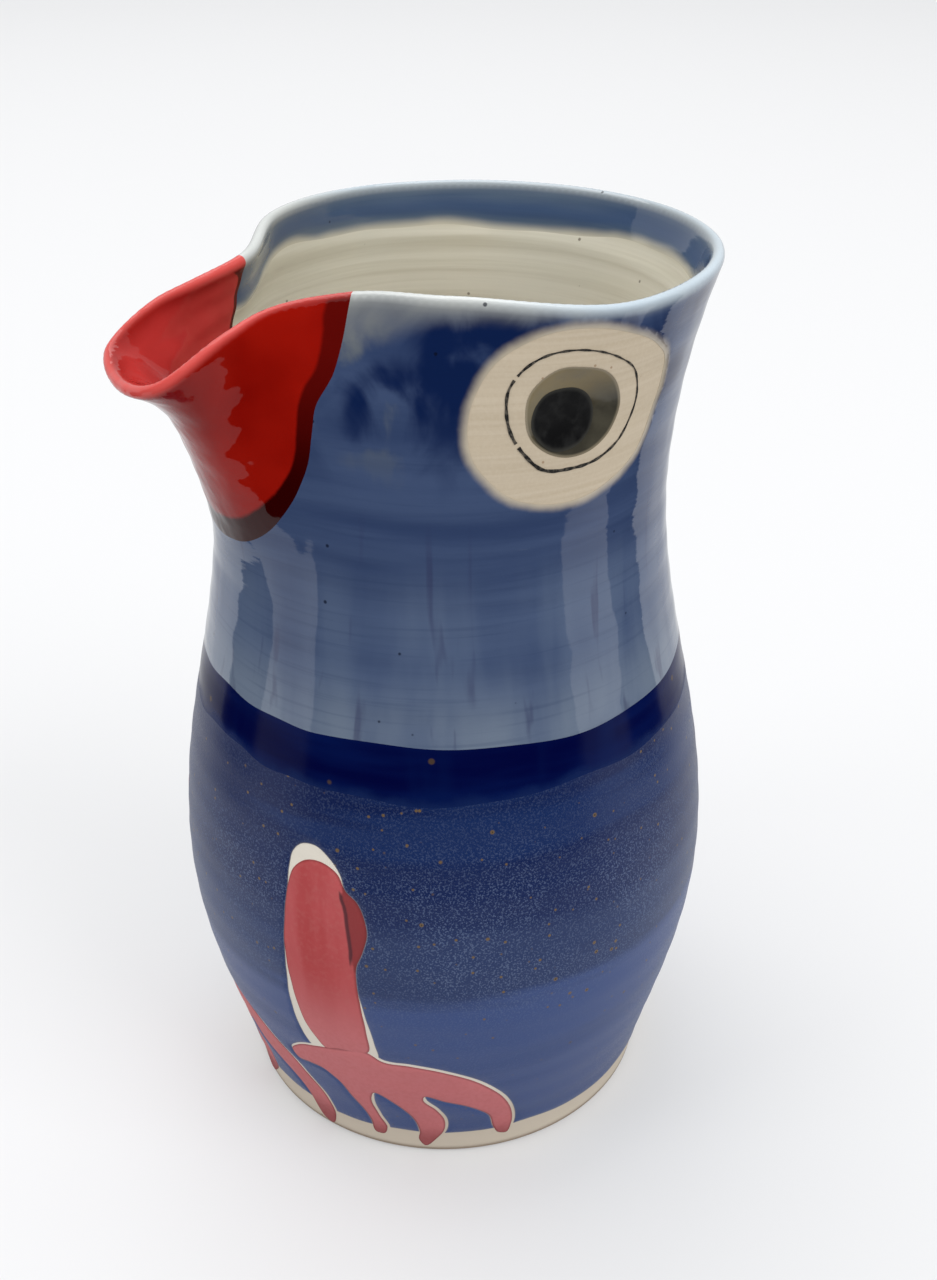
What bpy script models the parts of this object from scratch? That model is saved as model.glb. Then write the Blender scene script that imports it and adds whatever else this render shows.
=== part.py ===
"""A stoneware jug in the form of a bird, as thrown clay, a set-in beak spout and fired coats.

Metres, +Z up. The origin is the centre of the flat base, the beak points along -Y and
the bird's left side is +X. Every coat is a thin solid lifted off the same wall surface.
"""

import math

import bmesh
import bpy
from mathutils import Vector

# Thrown wall
RIM_HEIGHT = 0.2005
BASE_RADIUS = 0.0484
BELLY_RADIUS = 0.0603
BELLY_HEIGHT = 0.064
WAIST_RADIUS = 0.0476
WAIST_HEIGHT = 0.155
WALL = 0.0048
LIP = 0.0020
FLOOR = 0.007
FLOOR_FILLET = 0.012
FOOT_CHAMFER = 0.0008
FOOT_SWELL = 1.35
RIM_FLARE = 2.1

# Rim and beak outline, seen from above: reach is forward of the jug's axis
RIM_RADIUS = 0.0509
RIM_SETBACK = 0.0050
BEAK_REACH = 0.0665
BEAK_NOSE = 0.0503
BEAK_HALF_WIDTH = 0.0165
NOSE_ROUND = 0.81
THROAT_REACH = 0.0433
THROAT_HALF_WIDTH = 0.0160
CHEEK_REACH = 0.0307
CHEEK_HALF_WIDTH = 0.0204
SHOULDER_REACH = 0.0175
SHOULDER_HALF_WIDTH = 0.0374
CHEEK_KNOT = 4
SHOULDER_KNOT = 5
RIM_ARC_START = math.radians(95.0)
RIM_ARC_STEPS = 3

# Beak, seen from the side
BEAK_DEPTH = 0.0505
BEAK_BOTTOM = RIM_HEIGHT - BEAK_DEPTH
BEAK_DROP = 0.0167
BEAK_DIP = 1.91
CHEEK_RISE = 0.0005
SHOULDER_RISE = 0.0022
LEAN_DEPTH = 0.0625
LEAN_BOTTOM = RIM_HEIGHT - LEAN_DEPTH
BEAK_LEAN = 1.5
BEAK_CURL = 0.38
CURL_SHARPNESS = 12.0
CHEEK_ANGLE = math.radians(35.0)
FADE_START = 0.6
FADE_SPAN = 0.9
SEAM_ROUNDNESS = 0.28
SEAM_ROOM = 3.0

# Unevenness of the hand work: the lip's right side sits further forward and lower
RIGHT_PUSH = 0.0025
RIGHT_SINK = 0.0021
RIGHT_SPAN = 0.6

# Coats
CLEARANCE = 0.0003
COAT = 0.0005
PAINT = 0.0004
FOOT_BAND = 0.0075
OVERLAP_BOTTOM = 0.106
OVERLAP_TOP = 0.116
RIM_BAND = 0.009

# Eyes: sizes along the wall, offsets toward the back and upward
EYE_ANGLE = math.radians(91.0)
EYE_BELOW_RIM = 0.0190
EYE_HEIGHT = RIM_HEIGHT - EYE_BELOW_RIM
EYE_PATCH_HALF_WIDTH = 0.0205
EYE_PATCH_HALF_HEIGHT = 0.0160
EYE_PATCH_DROP = 0.0012
EYE_PATCH_POINT = 0.0022
EYE_POINT_ANGLE = math.radians(35.0)
EYE_POINT_SHARPNESS = 8
HOLLOW_RADIUS = 0.0094
HOLLOW_DEPTH = 0.0022
PUPIL_RADIUS = 0.0056
PUPIL_FORWARD = 0.0018
PUPIL_DROP = 0.0015
RING_HALF_WIDTH = 0.0128
RING_HALF_HEIGHT = 0.0113
RING_LINE = 0.0008
RING_BREAK = math.radians(8.0)

# Legs and feet: outlines along the wall, toward the back of each leg's line, and height
LEFT_LEG_ANGLE = math.radians(36.0)
FEET_SPACING = 0.0592
FEET_LEVEL = 0.022
RESERVE = 0.0009
RIGHT_TOE_STRETCH = 1.30
RIGHT_TOE_DROP = 0.004
LEG_FRONT = (
    (-0.0022, 0.0893), (0.0025, 0.0869), (0.0062, 0.0830), (0.0092, 0.0800),
    (0.0106, 0.0740), (0.0084, 0.0660), (0.0086, 0.0560), (0.0087, 0.0450),
    (0.0081, 0.0382),
)
LEG_BACK = (
    (-0.0060, 0.0340), (-0.0077, 0.0430), (-0.0092, 0.0530), (-0.0099, 0.0640),
    (-0.0092, 0.0730), (-0.0078, 0.0820), (-0.0058, 0.0870),
)
HEEL = (
    (-0.0140, 0.0272), (-0.0120, 0.0300), (-0.0090, 0.0325), (-0.0060, 0.0335),
)
LONG_TOE = (
    (0.0080, 0.0377), (0.0109, 0.0356), (0.0238, 0.0338), (0.0300, 0.0301),
    (0.0350, 0.0240), (0.0378, 0.0148), (0.0373, 0.0085), (0.0343, 0.0050),
)
LONG_TO_MIDDLE_TOE = (
    (0.0331, 0.0080), (0.0323, 0.0142), (0.0286, 0.0184), (0.0233, 0.0213),
    (0.0190, 0.0230), (0.0182, 0.0206), (0.0208, 0.0172), (0.0221, 0.0135),
    (0.0215, 0.0090), (0.0161, 0.0030),
)
MIDDLE_TO_SHORT_TOE = (
    (0.0151, 0.0050), (0.0158, 0.0078), (0.0151, 0.0128), (0.0115, 0.0185),
    (0.0068, 0.0216), (0.0058, 0.0190), (0.0068, 0.0121), (0.0080, 0.0074),
    (0.0058, 0.0037),
)
SHORT_TOE_TO_HEEL = (
    (0.0046, 0.0055), (0.0042, 0.0096), (0.0008, 0.0177), (-0.0054, 0.0256),
    (-0.0120, 0.0254),
)

# Mesh counts
COLUMNS = 40
BEAK_COLUMNS = 14
HEAD_STEPS = 5
BAND_STEPS = 2
LIP_STEPS = 4
BELLY_STEPS = 5
LOWER_NECK_STEPS = 2
INSIDE_STEPS = 5
FILLET_STEPS = 2
EYE_SIDES = 20
PATCH_STEP = 0.008
HOLLOW_STEP = 0.006
NUDGE = 1e-4
MERGE = 1e-6
WELD = 1e-4
SHARPEST = 0.3
SEARCH_STEPS = 12
WINDOW_REACH = 0.003
WINDOW_SINK = 0.001
HEAD_CROWDING = 1.5
SMOOTH_ANGLE = math.radians(40.0)

# Finishes: linear colour and roughness
FINISHES = {
    "clay": ((0.52, 0.45, 0.34), 0.8),
    "liner": ((0.46, 0.42, 0.33), 0.35),
    "neck_blue": ((0.055, 0.095, 0.22), 0.15),
    "overlap_navy": ((0.004, 0.010, 0.09), 0.12),
    "belly_blue": ((0.035, 0.065, 0.20), 0.55),
    "beak_red": ((0.36, 0.012, 0.008), 0.12),
    "leg_red": ((0.42, 0.10, 0.09), 0.6),
    "eye_olive": ((0.16, 0.145, 0.075), 0.15),
    "pupil_black": ((0.008, 0.008, 0.009), 0.25),
    "eye_line": ((0.03, 0.024, 0.02), 0.7),
}


def spread(low, high, steps):
    return [low + (high - low) * i / steps for i in range(steps + 1)]


def turned_radius(z):
    """Outer radius of the thrown wall: a swelling belly that narrows to the waist."""
    if z < BELLY_HEIGHT:
        swell = math.sin(0.5 * math.pi * max(z, 0.0) / BELLY_HEIGHT) ** FOOT_SWELL
        return BASE_RADIUS + (BELLY_RADIUS - BASE_RADIUS) * swell
    fall = min((z - BELLY_HEIGHT) / (WAIST_HEIGHT - BELLY_HEIGHT), 1.0)
    return WAIST_RADIUS + (BELLY_RADIUS - WAIST_RADIUS) * 0.5 * (1.0 + math.cos(math.pi * fall))


def lip_height(reach):
    """The lip is level round the back and dips along the beak."""
    along = max(reach - CHEEK_REACH, 0.0) / (BEAK_REACH - CHEEK_REACH)
    return RIM_HEIGHT - BEAK_DROP * along ** BEAK_DIP


def lip_knots():
    """Half of the lip's crest, from the beak's tip round the bird's left side to the back."""
    nose = BEAK_NOSE + NOSE_ROUND * (BEAK_REACH - BEAK_NOSE)
    plan = [
        (0.0, BEAK_REACH),
        (NOSE_ROUND * BEAK_HALF_WIDTH, nose),
        (BEAK_HALF_WIDTH, BEAK_NOSE),
        (THROAT_HALF_WIDTH, THROAT_REACH),
        (CHEEK_HALF_WIDTH, CHEEK_REACH),
        (SHOULDER_HALF_WIDTH, SHOULDER_REACH),
    ]
    knots = [Vector((aside, -reach, lip_height(reach))) for aside, reach in plan]
    knots[CHEEK_KNOT].z += CHEEK_RISE
    knots[SHOULDER_KNOT].z += SHOULDER_RISE
    for turn in spread(RIM_ARC_START, math.pi, RIM_ARC_STEPS):
        reach = RIM_RADIUS * math.cos(turn) - RIM_SETBACK
        knots.append(Vector((RIM_RADIUS * math.sin(turn), -reach, RIM_HEIGHT)))
    return knots


def mirrored(point):
    return Vector((-point.x, point.y, point.z))


class LipCurve:
    """A smooth closed curve through the lip's knots; 0 is the beak's tip and 1 the back."""

    def __init__(self, knots):
        self.points = [mirrored(knots[1])] + knots + [mirrored(knots[-2])]
        self.times = [0.0]
        for before, after in zip(self.points, self.points[1:]):
            self.times.append(self.times[-1] + (after - before).length)
        self.start = self.times[1]
        self.length = self.times[-2] - self.start
        self.cheek = (self.times[CHEEK_KNOT + 1] - self.start) / self.length

    def slope(self, i):
        step_in = self.times[i] - self.times[i - 1]
        step_out = self.times[i + 1] - self.times[i]
        into = (self.points[i] - self.points[i - 1]) / step_in
        out = (self.points[i + 1] - self.points[i]) / step_out
        return (into * step_out + out * step_in) / (step_in + step_out)

    def at(self, share):
        time = self.start + share * self.length
        i = 1
        while i < len(self.points) - 3 and time > self.times[i + 1]:
            i += 1
        span = self.times[i + 1] - self.times[i]
        t = (time - self.times[i]) / span
        rise = t * t * (3.0 - 2.0 * t)
        leave = t * (1.0 - t) ** 2 * span
        arrive = t * t * (1.0 - t) * span
        blend = self.points[i].lerp(self.points[i + 1], rise)
        return blend + self.slope(i) * leave - self.slope(i + 1) * arrive


LIP_CURVE = LipCurve(lip_knots())
CHEEK = LIP_CURVE.cheek


def neck_angle(share):
    """Direction on the round neck below a point of the lip."""
    if share < CHEEK:
        return CHEEK_ANGLE * share / CHEEK
    return CHEEK_ANGLE + (math.pi - CHEEK_ANGLE) * (share - CHEEK) / (1.0 - CHEEK)


def share_at(angle):
    """The lip share that stands above a direction on the round neck."""
    if angle < CHEEK_ANGLE:
        return CHEEK * angle / CHEEK_ANGLE
    return CHEEK + (1.0 - CHEEK) * (angle - CHEEK_ANGLE) / (math.pi - CHEEK_ANGLE)


def beak_weight(share):
    """1 on the beak, fading to 0 past the cheek."""
    t = min(max((share / CHEEK - FADE_START) / FADE_SPAN, 0.0), 1.0)
    return 1.0 - t * t * (3.0 - 2.0 * t)


def lip_crest(share, side):
    """The lip's crest on either side, as if both were on the left."""
    if side > 0.0:
        return LIP_CURVE.at(share)
    bell = math.sin(math.pi * min(share / RIGHT_SPAN, 1.0)) ** 2
    return LIP_CURVE.at(share) - bell * Vector((0.0, RIGHT_PUSH, RIGHT_SINK))


def lip_edge(share, side):
    """Where the outer wall ends, just under the lip's crest."""
    along = lip_crest(min(share + NUDGE, 1.0), side) - lip_crest(max(share - NUDGE, 0.0), side)
    out = Vector((along.y, -along.x, 0.0)).normalized()
    reach = 0.5 * LIP * (1.0 - beak_weight(share))
    return lip_crest(share, side) + out * reach - Vector((0.0, 0.0, 0.5 * LIP))


def beak_lean(z, top):
    """How far the beak's wall has leaned out from the neck toward its lip."""
    rise = max((z - LEAN_BOTTOM) / (top - LEAN_BOTTOM), 0.0)
    return (1.0 - BEAK_CURL) * rise ** BEAK_LEAN + BEAK_CURL * rise ** CURL_SHARPNESS


def wall(u, v):
    """Outer wall: u runs round from the beak (0), by the left side to the back (1) and on to 2;
    v runs up the turned wall (0 to 1), then from the beak's bottom to the lip (1 to 2)."""
    u = u % 2.0
    share = u if u <= 1.0 else 2.0 - u
    side = 1.0 if u <= 1.0 else -1.0
    turn = neck_angle(share)
    edge = lip_edge(share, side)
    climb = max(v - 1.0, 0.0)
    z = min(v, 1.0) * BEAK_BOTTOM + (edge.z - BEAK_BOTTOM) * climb
    radius = turned_radius(z)
    weight = beak_weight(share)
    lean = weight * beak_lean(z, edge.z) + (1.0 - weight) * climb ** RIM_FLARE
    x = radius * math.sin(turn)
    y = -radius * math.cos(turn)
    return Vector((side * (x + (edge.x - x) * lean), y + (edge.y - y) * lean, z))


def wall_frame(u, v):
    """Point, outward normal and upward direction of the outer wall."""
    low = max(v - NUDGE, 0.0)
    high = min(v + NUDGE, 2.0)
    up = wall(u, high) - wall(u, low)
    round_ = wall(u + NUDGE, v) - wall(u - NUDGE, v)
    normal = round_.cross(up).normalized()
    return wall(u, v), normal, up.normalized()


def thickness(v):
    return WALL + (LIP - WALL) * max(v - 1.0, 0.0)


def outside(u, v, lift):
    point, normal, _ = wall_frame(u, v)
    return point + normal * lift


def over_lip(u, turn, lift):
    point, normal, up = wall_frame(u, 2.0)
    centre = point - normal * (0.5 * LIP)
    return centre + (normal * math.cos(turn) + up * math.sin(turn)) * (0.5 * LIP + lift)


def inside(u, v, lift):
    point, normal, _ = wall_frame(u, v)
    return point - normal * (thickness(v) + lift)


def fillet(u, turn, lift):
    """The rounded corner between the inside wall and the floor."""
    foot = inside(u, (FLOOR + FLOOR_FILLET) / BEAK_BOTTOM, lift)
    radius = math.hypot(foot.x, foot.y)
    shrink = 1.0 - FLOOR_FILLET * (1.0 - math.cos(turn)) / radius
    z = FLOOR + lift + FLOOR_FILLET * (1.0 - math.sin(turn))
    return Vector((foot.x * shrink, foot.y * shrink, z))


def seam_share(climb):
    """Half width of the beak's seam with the neck, as a share of the lip's half length."""
    return CHEEK * climb ** SEAM_ROUNDNESS


def seam_margin(v):
    """Half of the seam's clearance, as a share of the lip's half length."""
    here = (wall(CHEEK + NUDGE, v) - wall(CHEEK - NUDGE, v)).length / (2.0 * NUDGE)
    return 0.5 * CLEARANCE / here


BAND_CLIMB = 1.0 - RIM_BAND / (RIM_HEIGHT - BEAK_BOTTOM)
HEAD_CLIMBS = [BAND_CLIMB * t ** HEAD_CROWDING for t in spread(0.0, 1.0, HEAD_STEPS)]
BAND_CLIMBS = spread(BAND_CLIMB, 1.0, BAND_STEPS)
LIP_TURNS = spread(0.0, math.pi, LIP_STEPS)


def body_shares(seam):
    """Columns round the body; those near the beak move aside for its seam."""
    shares = []
    for turn in spread(0.0, 2.0, COLUMNS):
        far = min(turn, 2.0 - turn)
        aside = seam * max(1.0 - far / (SEAM_ROOM * CHEEK), 0.0)
        shares.append(turn + aside if turn < 1.0 else turn - aside)
    return shares


class Row:
    """One ring of the wall. Above the beak's bottom it is open at the beak's seam."""

    def __init__(self, place, value, climb=0.0):
        self.place = place
        self.value = value
        self.climb = climb

    def body_shares(self):
        if self.climb <= 0.0:
            return spread(0.0, 2.0, COLUMNS)[:-1]
        return body_shares(seam_share(self.climb) + seam_margin(1.0 + self.climb))

    def beak_shares(self):
        if self.climb <= 0.0:
            return [0.0]
        seam = seam_share(self.climb) - seam_margin(1.0 + self.climb)
        return spread(-seam, seam, BEAK_COLUMNS)

    def points(self, shares, lift):
        return [self.place(u, self.value, lift) for u in shares]


def turned_rows(place, heights):
    return [Row(place, z / BEAK_BOTTOM) for z in heights]


def head_rows(place, climbs):
    return [Row(place, 1.0 + climb, climb) for climb in climbs]


def lip_rows():
    return [Row(over_lip, turn, 1.0) for turn in LIP_TURNS[1:-1]]


def beak_rows(place):
    """The beak's rows stand clear of the notch they fit in."""
    rows = []
    for climb in HEAD_CLIMBS + BAND_CLIMBS[1:]:
        raised = CLEARANCE / (RIM_HEIGHT - BEAK_BOTTOM) * (1.0 - climb)
        rows.append(Row(place, 1.0 + climb + raised, climb))
    return rows


def distinct(corners):
    return list(dict.fromkeys(corners))


def triangles(face):
    """Fan from the first corner, the same on every layer, so that layers stay clear."""
    return [[face[0], face[i], face[i + 1]] for i in range(1, len(face) - 1)]


class Sheet:
    """Rows of points joined into faces; a row is closed, open or a single point."""

    def __init__(self):
        self.points = []
        self.faces = []
        self.rows = []
        self.shares = []

    def add_row(self, row, closed, shares=()):
        """shares are the row's places round the wall, if it lies on the wall."""
        first = len(self.points)
        self.points.extend(row)
        indices = list(range(first, len(self.points)))
        shares = list(shares)
        if closed:
            indices.append(first)
            shares.append(2.0)
        self.rows.append(indices)
        self.shares.append(shares)
        if len(self.rows) > 1:
            self.join(self.rows[-2], indices, self.shares[-2], shares)

    def join(self, below, above, below_shares, above_shares):
        if len(below) == 1:
            below = below * len(above)
        if len(above) == 1:
            above = above * len(below)
        slides = [high - low for low, high in zip(below_shares, above_shares)]
        for i in range(len(below) - 1):
            corners = (below[i], below[i + 1], above[i + 1], above[i])
            if sum(slides[i:i + 2]) > MERGE:
                corners = corners[1:] + corners[:1]
            self.faces += triangles(distinct(corners))


def add_body_row(sheet, row, lift):
    shares = row.body_shares()
    sheet.add_row(row.points(shares, lift), row.climb <= 0.0, shares)


def add_beak_row(sheet, row, lift):
    shares = row.beak_shares()
    sheet.add_row(row.points(shares, lift), False, shares)


def body_sheet(rows, lift):
    sheet = Sheet()
    for row in rows:
        add_body_row(sheet, row, lift)
    return sheet


def beak_sheet(rows, lift):
    sheet = Sheet()
    for row in rows:
        add_beak_row(sheet, row, lift)
    return sheet


def rim_edges(faces):
    """Edges that only one face uses, in that face's direction."""
    edges = [edge for face in faces for edge in zip(face, face[1:] + face[:1])]
    used = set(edges)
    return [(a, b) for a, b in edges if (b, a) not in used]


def mesh_object(name, points, faces, material):
    mesh = bpy.data.meshes.new(name)
    mesh.from_pydata([tuple(point) for point in points], [], faces)
    shape = bmesh.new()
    shape.from_mesh(mesh)
    bmesh.ops.recalc_face_normals(shape, faces=shape.faces)
    shape.to_mesh(mesh)
    shape.free()
    mesh.shade_smooth()
    mesh.set_sharp_from_angle(angle=SMOOTH_ANGLE)
    if material:
        mesh.materials.append(material)
    made = bpy.data.objects.new(name, mesh)
    bpy.context.scene.collection.objects.link(made)
    return made


def shell_object(name, upper, lower, faces, material):
    """A thin closed solid between two layers of the same faces."""
    count = len(upper)
    closed = list(faces)
    closed += [[i + count for i in reversed(face)] for face in faces]
    closed += [[b, a, a + count, b + count] for a, b in rim_edges(faces)]
    return mesh_object(name, list(upper) + list(lower), closed, material)


def finish(name):
    colour, roughness = FINISHES[name]
    material = bpy.data.materials.new(name)
    material.use_nodes = True
    surface = material.node_tree.nodes["Principled BSDF"]
    surface.inputs["Base Color"].default_value = (*colour, 1.0)
    surface.inputs["Roughness"].default_value = roughness
    surface.inputs["Metallic"].default_value = 0.0
    return material


def cut(target, cutter):
    cutter.hide_render = True
    cutter.display_type = "WIRE"
    modifier = target.modifiers.new(cutter.name, "BOOLEAN")
    modifier.operation = "DIFFERENCE"
    modifier.object = cutter
    modifier.solver = "EXACT"


def on_wall(angle, z):
    """The wall's u and v at a direction and a height; the search settles on the leaning head."""
    u = share_at(abs(angle))
    v = z / BEAK_BOTTOM
    if v > 1.0:
        v = 1.0 + (z - BEAK_BOTTOM) / (RIM_HEIGHT - BEAK_BOTTOM)
        for _ in range(SEARCH_STEPS):
            point = wall(u, v)
            v = min(v + (z - point.z) / (RIM_HEIGHT - BEAK_BOTTOM), 2.0)
            u += (abs(angle) - math.atan2(point.x, -point.y)) / math.pi
    return (u if angle >= 0.0 else 2.0 - u), v


class Flat:
    """An outline filled and sliced into small faces, so that it can follow the curved wall."""

    def __init__(self, outline, step):
        shape = bmesh.new()
        corners = [shape.verts.new((x, y, 0.0)) for x, y in outline]
        shape.faces.new(corners)
        shape.normal_update()
        bmesh.ops.triangulate(shape, faces=shape.faces[:])
        for axis in (0, 1):
            values = [point[axis] for point in outline]
            for i in range(math.ceil(min(values) / step), math.ceil(max(values) / step)):
                self.slice(shape, axis, i * step)
        bmesh.ops.remove_doubles(shape, verts=shape.verts[:], dist=WELD)
        shape.verts.index_update()
        self.points = [(vert.co.x, vert.co.y) for vert in shape.verts]
        self.faces = [[vert.index for vert in face.verts] for face in shape.faces]
        shape.free()

    @staticmethod
    def slice(shape, axis, line):
        centre = [0.0, 0.0, 0.0]
        normal = [0.0, 0.0, 0.0]
        centre[axis] = line
        normal[axis] = 1.0
        everything = shape.verts[:] + shape.edges[:] + shape.faces[:]
        bmesh.ops.bisect_plane(shape, geom=everything, dist=MERGE, plane_co=centre, plane_no=normal)


def draped_object(name, flat, spot, low, high, material):
    """A thin solid that follows the wall between two lifts, each a function of the flat place."""
    upper = [spot(x, y, high(x, y)) for x, y in flat.points]
    lower = [spot(x, y, low(x, y)) for x, y in flat.points]
    return shell_object(name, upper, lower, flat.faces, material)


def level(lift):
    return lambda x, y: lift


def leg_spot(leg_angle):
    """Places on the belly: x along the wall from the leg's line, y the height."""
    def spot(x, y, lift):
        u, v = on_wall(leg_angle + x / turned_radius(y), y)
        return outside(u, v, lift)
    return spot


def eye_spot(side):
    """Places round an eye: x along the wall toward the back, y upward."""
    def spot(x, y, lift):
        u, v = on_wall(side * (EYE_ANGLE + x / WAIST_RADIUS), EYE_HEIGHT + y)
        return outside(u, v, lift)
    return spot


def oval(half_width, half_height, turns, x=0.0, y=0.0):
    return [(x + half_width * math.cos(turn), y + half_height * math.sin(turn)) for turn in turns]


def full_turn(sides):
    return [2.0 * math.pi * i / sides for i in range(sides)]


def widened(outline, margin):
    """The outline moved outward; it runs clockwise, so outward is to the left of travel."""
    moved = []
    count = len(outline)
    for i in range(count):
        before, here, after = (Vector(outline[(i + k) % count]) for k in (-1, 0, 1))
        into = (here - before).normalized()
        out = (after - here).normalized()
        across = Vector((-into.y - out.y, into.x + out.x)).normalized()
        slant = max(across.dot(Vector((-into.y, into.x))), SHARPEST)
        place = here + across * (margin / slant)
        moved.append((place.x, place.y))
    return moved


def eye_patch_outline():
    """The bare clay round an eye: an oval drawn out to a point at the back and top."""
    outline = []
    for turn in full_turn(EYE_SIDES):
        pull = max(math.cos(turn - EYE_POINT_ANGLE), 0.0) ** EYE_POINT_SHARPNESS
        x = (EYE_PATCH_HALF_WIDTH + EYE_PATCH_POINT * pull) * math.cos(turn)
        y = (EYE_PATCH_HALF_HEIGHT + EYE_PATCH_POINT * pull) * math.sin(turn) - EYE_PATCH_DROP
        outline.append((x, y))
    return outline


def ring_strip():
    """A drawn line round the eye, broken at the front."""
    turns = spread(math.pi + RING_BREAK, 3.0 * math.pi - RING_BREAK, EYE_SIDES)
    half = 0.5 * RING_LINE
    strip = Sheet()
    strip.add_row(oval(RING_HALF_WIDTH + half, RING_HALF_HEIGHT + half, turns), closed=False)
    strip.add_row(oval(RING_HALF_WIDTH - half, RING_HALF_HEIGHT - half, turns), closed=False)
    return strip


def hollow_floor(x, y):
    """How far the pressed eye hollow lies below the wall."""
    radius = math.hypot(x, y) / HOLLOW_RADIUS
    return -HOLLOW_DEPTH * (1.0 - radius * radius)


class Leg:
    """One leg's line on the belly and the outlines painted along it."""

    def __init__(self, side, angle, stretch, drop):
        self.side = side
        self.angle = angle
        self.stretch = stretch
        self.drop = drop
        self.runs = [self.toes(run) for run in (HEEL + LONG_TOE, LONG_TO_MIDDLE_TOE,
                                                MIDDLE_TO_SHORT_TOE, SHORT_TOE_TO_HEEL)]
        self.foot = sum(self.runs, [])
        self.leg = list(LEG_FRONT + LEG_BACK)

    def toes(self, run):
        """Toes longer and lower in proportion to how far they reach."""
        longest = max(x for x, y in LONG_TOE)
        reach = [max(x, 0.0) for x, y in run]
        return [(x + far * (self.stretch - 1.0), y - self.drop * far / longest)
                for (x, y), far in zip(run, reach)]

    def contour(self):
        """Round leg and foot together, straight across the gaps between the toes."""
        heel = self.toes(HEEL[:-1])
        return heel + list(LEG_BACK + LEG_FRONT) + self.toes(LONG_TOE[1:] + SHORT_TOE_TO_HEEL)

    def gaps(self):
        """The two places between toes, down to the bare foot band."""
        apart = widened(self.foot, RESERVE)
        first = len(self.runs[0]) - 1
        middle = first + len(self.runs[1])
        last = middle + len(self.runs[2])
        return [above(apart[first:middle + 1], FOOT_BAND), above(apart[middle:last + 1], FOOT_BAND)]


def above(outline, floor):
    """The part of a closed outline that lies above a level line."""
    kept = []
    for (x, y), (next_x, next_y) in zip(outline, outline[1:] + outline[:1]):
        if y > floor:
            kept.append((x, y))
        if (y > floor) != (next_y > floor):
            kept.append((x + (next_x - x) * (floor - y) / (next_y - y), floor))
    return kept


def make_thrown_body(clay):
    """Wall, floor and rim in one, notched for the beak and pressed in at the eyes."""
    sheet = Sheet()
    belly = spread(FOOT_BAND, OVERLAP_BOTTOM, BELLY_STEPS)
    neck = spread(OVERLAP_TOP, BEAK_BOTTOM, LOWER_NECK_STEPS)
    climbs = HEAD_CLIMBS[1:] + BAND_CLIMBS[1:]
    base = [Vector((p.x, p.y, 0.0)) * (1.0 - FOOT_CHAMFER / BASE_RADIUS)
            for p in body_sheet([Row(outside, 0.0)], 0.0).points]
    sheet.add_row([Vector((0.0, 0.0, 0.0))], closed=False)
    sheet.add_row(base, closed=True)
    outer = turned_rows(outside, [FOOT_CHAMFER] + belly + neck) + head_rows(outside, climbs)
    down = spread(BEAK_BOTTOM, FLOOR + FLOOR_FILLET, INSIDE_STEPS)
    inner = head_rows(inside, climbs[::-1]) + turned_rows(inside, down)
    corner = [Row(fillet, turn) for turn in spread(0.0, 0.5 * math.pi, FILLET_STEPS)[1:]]
    for row in outer + lip_rows() + inner + corner:
        add_body_row(sheet, row, 0.0)
    sheet.add_row([Vector((0.0, 0.0, FLOOR))], closed=False)
    faces = sheet.faces + seam_faces(sheet)
    body = mesh_object("thrown_body", sheet.points, faces, clay)
    hollow = Flat(oval(HOLLOW_RADIUS, HOLLOW_RADIUS, full_turn(EYE_SIDES)), HOLLOW_STEP)
    for side, name in ((1.0, "left"), (-1.0, "right")):
        press = draped_object(name + "_hollow_cutter", hollow, eye_spot(side), hollow_floor,
                              level(WINDOW_REACH), None)
        cut(body, press)
    return body


def seam_faces(sheet):
    """Walls of the seam, across from its outer edge to its inner edge on both sides."""
    opened = [i for i, row in enumerate(sheet.rows) if row[0] != row[-1]]
    rows = sheet.rows[opened[0] - 1:opened[-1] + 2]
    faces = []
    for end in (0, -1):
        path = [row[end] for row in rows]
        for i in range(len(path) // 2):
            faces.append(distinct((path[i], path[i + 1], path[-2 - i], path[-1 - i])))
    return faces


def make_beak_spout(clay):
    sheet = beak_sheet(beak_rows(outside) + lip_rows() + beak_rows(inside)[::-1], 0.0)
    return mesh_object("beak_spout", sheet.points, sheet.faces + seam_faces(sheet), clay)


def make_coat(name, rows, sheet_of, material):
    upper = sheet_of(rows, CLEARANCE + COAT)
    lower = sheet_of(rows, CLEARANCE)
    return shell_object(name, upper.points, lower.points, upper.faces, material)


def make_liner(material):
    gap = CLEARANCE / (RIM_HEIGHT - BEAK_BOTTOM)
    climbs = [BAND_CLIMB - gap] + HEAD_CLIMBS[-2:0:-1]
    down = spread(BEAK_BOTTOM, FLOOR + FLOOR_FILLET, INSIDE_STEPS)
    rows = head_rows(inside, climbs) + turned_rows(inside, down)
    rows += [Row(fillet, turn) for turn in spread(0.0, 0.5 * math.pi, FILLET_STEPS)[1:]]
    upper = body_sheet(rows, CLEARANCE + COAT)
    lower = body_sheet(rows, CLEARANCE)
    upper.add_row([Vector((0.0, 0.0, FLOOR + CLEARANCE + COAT))], closed=False)
    lower.add_row([Vector((0.0, 0.0, FLOOR + CLEARANCE))], closed=False)
    return shell_object("liner_glaze", upper.points, lower.points, upper.faces, material)


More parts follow.
